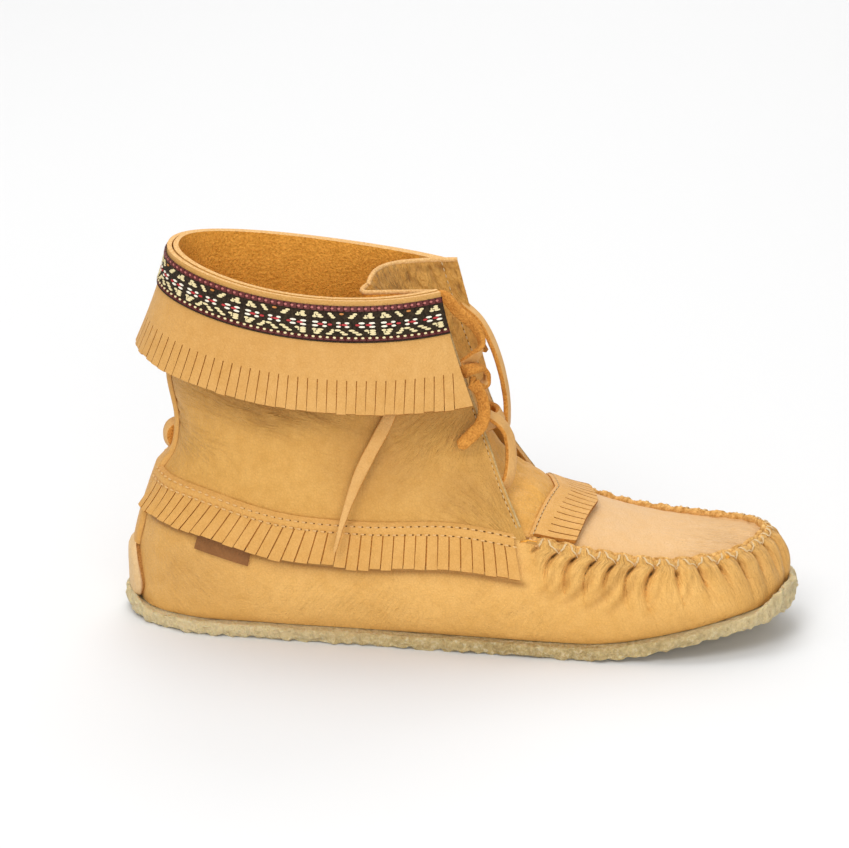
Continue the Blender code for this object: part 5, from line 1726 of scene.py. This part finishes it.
# The ribbon's figure, one repeat: a letter for each warp step. m maroon, p pink, c cream,
# w white, r red, o orange, and a dot where the dark ground shows.
BRAID_FIGURE = (
    "m" * 40,
    "mmpp" * 10,
    "m" * 40,
    "." * 40,
    "...ccc......ccc.....ooo....ccc.....ccc..",
    "...ccccc.....cccc.........ccc....ccccc..",
    "..ccccccc.....cccc.......ccc....ccccccc.",
    "." * 40,
    "." * 40,
    "..wwww..wwww.....www..www.....www..wwww.",
    "....rrrr...rrr....rrrrr....rrr..rrrr....",
    "..wwww..wwww.....www..www.....www..wwww.",
    "." * 40,
    "..ccccccc.....cccc....cccccc....ccccccc.",
    "..ccccc.....cccc....ccc...ccc....ccccc..",
    "..cccc....cccc....cccc.....cccc...cccc..",
    "." * 40,
    ".cc." * 10,
    "m" * 40,
    "." * 40,
)
YARNS = {
    "m": "#5C140E", "p": "#B86A62", "c": "#E2D2A0", "w": "#F0E9D6", "r": "#B4262A", "o": "#C07A34",
}


class MOCCASIN_OT_braid(bpy.types.Operator):
    """Jacquard ribbon round the cuff: ground cloth and floats"""

    bl_idname = "moccasin.braid"
    bl_label = "Braid"

    def execute(self, context):
        patch = cuff_patch(GAP + CUFF_LEATHER + 0.3 * MM)
        shares = even(481)
        drops = np.linspace(BRAID_FROM, BRAID_TO, 25)
        v = even(25)
        selvedge = 0.22 * MM * (hump(v, 0.05) + hump(1 - v, 0.05))
        base = patch.at(drops[:, None], shares[None, :], selvedge[:, None] + 0 * shares[None, :])
        base = base + normals_of(base) * (0.1 * MM * drift(base, 0.02, 71))[..., None]
        place = np.stack(np.meshgrid(shares, v), axis=-1)
        sheet = Sheet().grid(base, place)
        kinds = ["ground"]
        make_piece("braid_ground", sheet, kinds, "braid", ["braid_trim"], thickness=0.5 * MM, offset=0.0)
        cell = context.scene.moccasin_sizes.braid_cell
        middle = patch.at(0.5 * (BRAID_FROM + BRAID_TO), shares)
        along = lengths_along(middle)
        start = 0.4 * MM
        points, ups, runs, spans, yarns = [], [], [], [], []
        total = int((along[-1] - 2 * start) / cell)
        for row, figure in enumerate(BRAID_FIGURE):
            drop = BRAID_FROM + (BRAID_TO - BRAID_FROM) * (row + 0.5) / len(BRAID_FIGURE)
            step = 0
            while step < total:
                letter = figure[step % 40]
                length = 1
                while length < 4 and step + length < total and figure[(step + length) % 40] == letter:
                    length += 1
                if letter != ".":
                    ends = start + cell * np.array([step, step + length])
                    share = np.interp(ends, along, shares)
                    pair = patch.at(drop, share, np.full(2, 0.36 * MM))
                    points.append(pair.mean(axis=0))
                    ups.append(patch.facing(drop, share.mean()))
                    runs.append(pair[1] - pair[0])
                    spans.append(np.linalg.norm(pair[1] - pair[0]) * 0.94)
                    yarns.append(srgb(YARNS[letter]))
                step += length
        mesh = bpy.data.meshes.new("float spots")
        mesh.from_pydata(np.array(points).tolist(), [], [])
        paint(mesh, "up", "FLOAT_VECTOR", "vector", ups)
        paint(mesh, "run", "FLOAT_VECTOR", "vector", runs)
        paint(mesh, "span", "FLOAT", "value", spans)
        paint(mesh, "yarn", "FLOAT_COLOR", "color", yarns)
        sizes = {"Height": 0.8 * MM, "Thickness": 0.5 * MM}
        grow("braid_floats", float_tree(), mesh, "float", "braid", ["braid_trim"], **sizes)
        return {"FINISHED"}


class MOCCASIN_OT_side_fringes(bpy.types.Operator):
    """Fringes sewn along the seam on both sides"""

    bl_idname = "moccasin.side_fringes"
    bl_label = "Side fringes"

    def execute(self, context):
        body = (-0.0010, -0.0002, 0.0005, 0.0012, 0.0019, 0.0026, SIDE_BAND)
        lay = {"tuck": 0.0009, "stand": SIDE_STAND, "cord": 0.0005, "length": 0.02, "cut": 0.00026,
               "lift": 0.0003, "twist": 0.00012, "sunk": 0.0003}
        for name, side, seed in (("fringe_outer", -1, 81), ("fringe_inner", 1, 82)):
            KEPT[name] = side_patch(side)
            make_fringe(name + "_cut", KEPT[name], SIDE_STRIPS, body, SIDE_DROP, seed, lay, SIDE_OFF,
                        TRIM_LEATHER, "trim hide", "trim_hide", name)
        return {"FINISHED"}


class MOCCASIN_OT_instep_fringe(bpy.types.Operator):
    """Fringe across the throat, over the rear of the plug"""

    bl_idname = "moccasin.instep_fringe"
    bl_label = "Instep fringe"

    def execute(self, context):
        KEPT["instep"] = instep_patch()
        body = np.linspace(0.0, INSTEP_BAND, 6)
        lay = {"tuck": 0.0009, "stand": 0.0008, "cut": 0.00022, "cup": 0.0}
        make_fringe("instep_fringe_cut", KEPT["instep"], INSTEP_STRIPS, body, INSTEP_DROP, 91, lay,
                    2 * GAP, TRIM_LEATHER, "trim hide", "trim_hide", "instep_fringe")
        return {"FINISHED"}


def heel_patch(heights, halves, across):
    """Grid [height][across] on the back of the heel, halves wide to each side."""
    rows = []
    for height, half in zip(heights, halves):
        ways = rear_way(0.5 + np.asarray(across) * half / REAR_LENGTH)
        rows.append(wall(ways, np.full(len(ways), height)))
    return np.array(rows)


class MOCCASIN_OT_heel(bpy.types.Operator):
    """Back stay, heel tab and side tab"""

    bl_idname = "moccasin.heel"
    bl_label = "Heel pieces"

    def execute(self, context):
        across = np.linspace(-1.0, 1.0, 41)
        heights = np.linspace(0.415, 0.97, 24)
        low = heel_patch(heights, [STAY_HALF] * len(heights), across)
        high = shaft(0.5 + across * STAY_HALF / REAR_LENGTH, np.linspace(0.0, 0.70, 44))
        tuck = 1.5 * MM * smoothstep(0.80, 1.0, np.abs(across))
        grid = np.concatenate([low, high])
        grid = grown(grid, GAP - tuck + 0 * grid[..., 0])
        line = 0.95 * smoothstep(0.88, 0.97, np.abs(across))
        sheet = Sheet().grid(grid, dark=line + 0 * grid[..., 0])
        kinds = ("trim hide", "flesh", "brown edge")
        wall_out = {"thickness": TRIM_LEATHER, "offset": 1.0}
        make_piece("back_stay_strip", sheet, kinds, "trim_hide", ["back_stay"], **wall_out)
        heights = np.array((0.055, 0.13, 0.22, 0.30, 0.36, 0.40))
        halves = np.array((0.0135, 0.0158, 0.0152, 0.0132, 0.0108, 0.0085))
        fine = np.linspace(heights[0], heights[-1], 26)
        grid = heel_patch(fine, hermite(heights, halves, fine), across)
        ends = smoothstep(0.90, 1.0, even(len(fine)))
        tuck = 1.6 * MM * np.maximum(smoothstep(0.72, 1.0, np.abs(across))[None, :], ends[:, None])
        grid = grown(grid, GAP + 0.0008 * smoothstep(0.16, 0.40, fine)[:, None] - tuck)
        sheet = Sheet().grid(grid, dark=line + 0 * grid[..., 0])
        kinds = ("tab hide", "flesh", "brown edge")
        wall_out = {"thickness": TAB_THICK * 0.92, "offset": 1.0}
        make_piece("heel_tab_patch", sheet, kinds, "trim_hide", ["heel_tab"], **wall_out)
        outer = FINE_SHARES < 0.5
        spans = np.interp(SIDE_TAB, FINE_SEAM[outer][::-1, 0], FINE_SHARES[outer][::-1])
        shares = np.linspace(spans[1], spans[0], 41)
        depths = np.linspace(0.0134, 0.0220, 18)
        grid = grown(fall(rear_way(shares), depths), GAP + 0.0008 * smoothstep(0.0168, 0.0220, depths))
        sheet = Sheet().grid(grid)
        kinds = ("tab", "flesh", "tab")
        wall_out = {"thickness": LABEL_THICK, "offset": 1.0}
        make_piece("side_tab_blank", sheet, kinds, "tab_leather", ["side_tab"], **wall_out)
        return {"FINISHED"}


class MOCCASIN_OT_gather_thread(bpy.types.Operator):
    """Doubled thread zigzagging over the gathers"""

    bl_idname = "moccasin.gather_thread"
    bl_label = "Gathering thread"

    def execute(self, context):
        hide = KEPT["hide"]
        radius = context.scene.moccasin_sizes.thread
        rows, columns = hide.grid.shape[:2]
        normal = normals_of(hide.grid)
        patch = Patch(np.arange(rows), np.arange(columns), hide.grid, normal)
        rng = np.random.default_rng(12)
        marks = np.interp(GATHERS, hide.at, np.arange(len(hide.at)))
        low = rows - ROLLED - 6
        routes = []
        for k in range(len(marks) - 1):
            middle = marks[k] + (marks[k + 1] - marks[k]) * rng.uniform(0.25, 0.55)
            for start, end in ((marks[k], middle), (marks[k + 1], middle)):
                for strand in (-0.396, 0.396):
                    t = even(13)
                    across = start + (end - start) * t**0.9 + strand * np.sin(math.pi * t)
                    down = low + (rows - 2.0 - low) * t
                    off = radius * 0.9 + 0.25 * MM * np.sin(math.pi * np.clip(t * 1.2, 0, 1)) ** 0.7
                    line = patch.at(down, across, off)
                    routes.append((line, patch.facing(down, across)))
        mesh = route_mesh("gather routes", routes)
        grow("gathering_thread", thread_tree(), mesh, "thread", "hide", Radius=radius, Sides=6)
        ways, at = even_front(700)
        line = seam(ways)
        out = outward_flat(ways)
        ends = smoothstep(0.0, 0.01, even(700)) * smoothstep(1.0, 0.99, even(700))
        place = np.interp(at, GATHERS, np.arange(len(GATHERS)))
        scallop = 0.70 + 0.55 * np.abs(np.sin(math.pi * place))
        rings = []
        for a in np.radians(np.arange(0, 361, 30)):
            spot = line - out * 3.0 * MM + (0.0, 0.0, 0.55 * MM)
            ragged = scallop + 0.25 * drift(spot + out * math.cos(a), 0.0021, 13)
            size = np.stack([1.0 * MM * ragged * ends, 1.45 * MM * ragged * ends], axis=1)
            spot = spot + out * (math.cos(a) * size[:, :1])
            rings.append(spot + np.array([0, 0, 1]) * (math.sin(a) * size[:, 1:]))
        sheet = Sheet().grid(np.stack(rings, axis=1))
        make_piece("gathered_edge", sheet, ["raw edge"], "hide", closed=True)
        return {"FINISHED"}


class MOCCASIN_OT_stitching(bpy.types.Operator):
    """Machine stitches along the side fringes, the instep fringe, the flap edges and the tongue, and rolled
    beads along the flap edges and the tongue's top
    """

    bl_idname = "moccasin.stitching"
    bl_label = "Stitching"

    def execute(self, context):
        sizes = context.scene.moccasin_sizes
        fringe_rows = []
        for name in ("fringe_outer", "fringe_inner"):
            patch = KEPT[name]
            share = np.linspace(0.002, 0.998, 300)
            for depth in (-0.0003, 0.0028):
                off = SIDE_OFF + TRIM_LEATHER + (0.12 + 0.36 * smoothstep(0.2, 0.7, share)) * MM
                fringe_rows.append(self.on(patch, depth, share, off))
        pitch, length = sizes.stitch_pitch, sizes.stitch_length
        self.sew("fringe_stitches", fringe_rows, "trim_hide", "stitch", pitch, length, 0.75 * MM)
        share = np.linspace(0.01, 0.99, 120)
        instep = [self.on(KEPT["instep"], 0.0006, share, GAP + TRIM_LEATHER)]
        fine = 0.8 * pitch
        self.sew("instep_stitches", instep, "trim_hide", "grey stitch", fine, 0.8 * length, 0.5 * MM)
        shaft_face = shaft_patch()
        rows = np.linspace(0.02, 0.985, 220)
        flaps = [self.on(shaft_face, rows, side, 0.0) for side in (1 - 0.0075, 0.0065)]
        front = np.linspace(0.62, 0.985, 90) * KEPT["tongue"].downs[-1]
        flaps.append(self.on(KEPT["tongue"], front, 0.86, TONGUE_LEATHER / 2 + 0.1 * MM))
        self.sew("flap_stitches", flaps, "hide", "grey stitch", fine, 0.8 * length, 0.5 * MM)
        bindings = [self.on(shaft_face, rows, share, -0.1 * MM) for share in (0.0014, 1 - 0.0014)]
        mesh = route_mesh("flap edge routes", bindings)
        grow("flap_edges", thread_tree(), mesh, "flap edge", "hide", Radius=0.5 * MM, Sides=8)
        share = np.linspace(-1.0, 1.0, 241)
        rim = [self.on(KEPT["tongue"], KEPT["tongue"].downs[-1] - 0.4 * MM, share, 0.0)]
        mesh = route_mesh("tongue rim route", rim)
        grow("tongue_rim", thread_tree(), mesh, "edge", "hide", Radius=1.0 * MM, Sides=10)
        return {"FINISHED"}

    def on(self, patch, down, along, off):
        """A route over a surface, lifted off it."""
        down, along = np.broadcast_arrays(np.asarray(down, float), np.asarray(along, float))
        return patch.at(down, along, off + 0 * down), patch.facing(down, along)

    def sew(self, name, routes, slot, thread, pitch, length, width):
        """Stitches along routes, and between them dark beads of painted shade where the needle went
        through.
        """
        mesh = route_mesh(name + " routes", routes)
        sizes = {"Pitch": pitch, "Length": length, "Width": width}
        grow(name, stitch_tree(), mesh, thread, slot, **sizes)
        holes = []
        for line, up in routes:
            keep = lengths_along(line) >= pitch / 2
            holes.append((line[keep], up[keep]))
        mesh = route_mesh(name + " holes", holes)
        sizes = {"Pitch": pitch, "Length": pitch - length + 0.3 * MM, "Width": width * 0.75}
        grow(name + "_holes", stitch_tree(), mesh, "needle hole", slot, **sizes)


CLASSES = (
    MoccasinColours, MoccasinSizes, MOCCASIN_OT_studio, MOCCASIN_OT_laces, MOCCASIN_OT_outsole,
    MOCCASIN_OT_bottom, MOCCASIN_OT_plug, MOCCASIN_OT_gather_thread, MOCCASIN_OT_quarters,
    MOCCASIN_OT_tongue, MOCCASIN_OT_cuff, MOCCASIN_OT_braid, MOCCASIN_OT_side_fringes,
    MOCCASIN_OT_instep_fringe, MOCCASIN_OT_heel, MOCCASIN_OT_stitching,
)


class MOCCASIN_PT_panel(bpy.types.Panel):
    """Lists the pieces in the order they are made"""

    bl_idname = "MOCCASIN_PT_panel"
    bl_label = "Fringed moccasin"
    bl_space_type = "VIEW_3D"
    bl_region_type = "UI"
    bl_category = "Moccasin"

    def draw(self, context):
        for kept in (context.scene.moccasin_colours, context.scene.moccasin_sizes):
            for name in kept.__annotations__:
                self.layout.prop(kept, name)
        for made in CLASSES:
            if issubclass(made, bpy.types.Operator):
                self.layout.operator(made.bl_idname)


def register():
    for made in (*CLASSES, MOCCASIN_PT_panel):
        bpy.utils.register_class(made)
    bpy.types.Scene.moccasin_colours = bpy.props.PointerProperty(type=MoccasinColours)
    bpy.types.Scene.moccasin_sizes = bpy.props.PointerProperty(type=MoccasinSizes)


def unregister():
    del bpy.types.Scene.moccasin_colours
    del bpy.types.Scene.moccasin_sizes
    for made in (MOCCASIN_PT_panel, *reversed(CLASSES)):
        bpy.utils.unregister_class(made)


def main():
    register()
    for made in CLASSES:
        if issubclass(made, bpy.types.Operator):
            group, name = made.bl_idname.split(".")
            getattr(getattr(bpy.ops, group), name)()


if __name__ == "__main__":
    main()
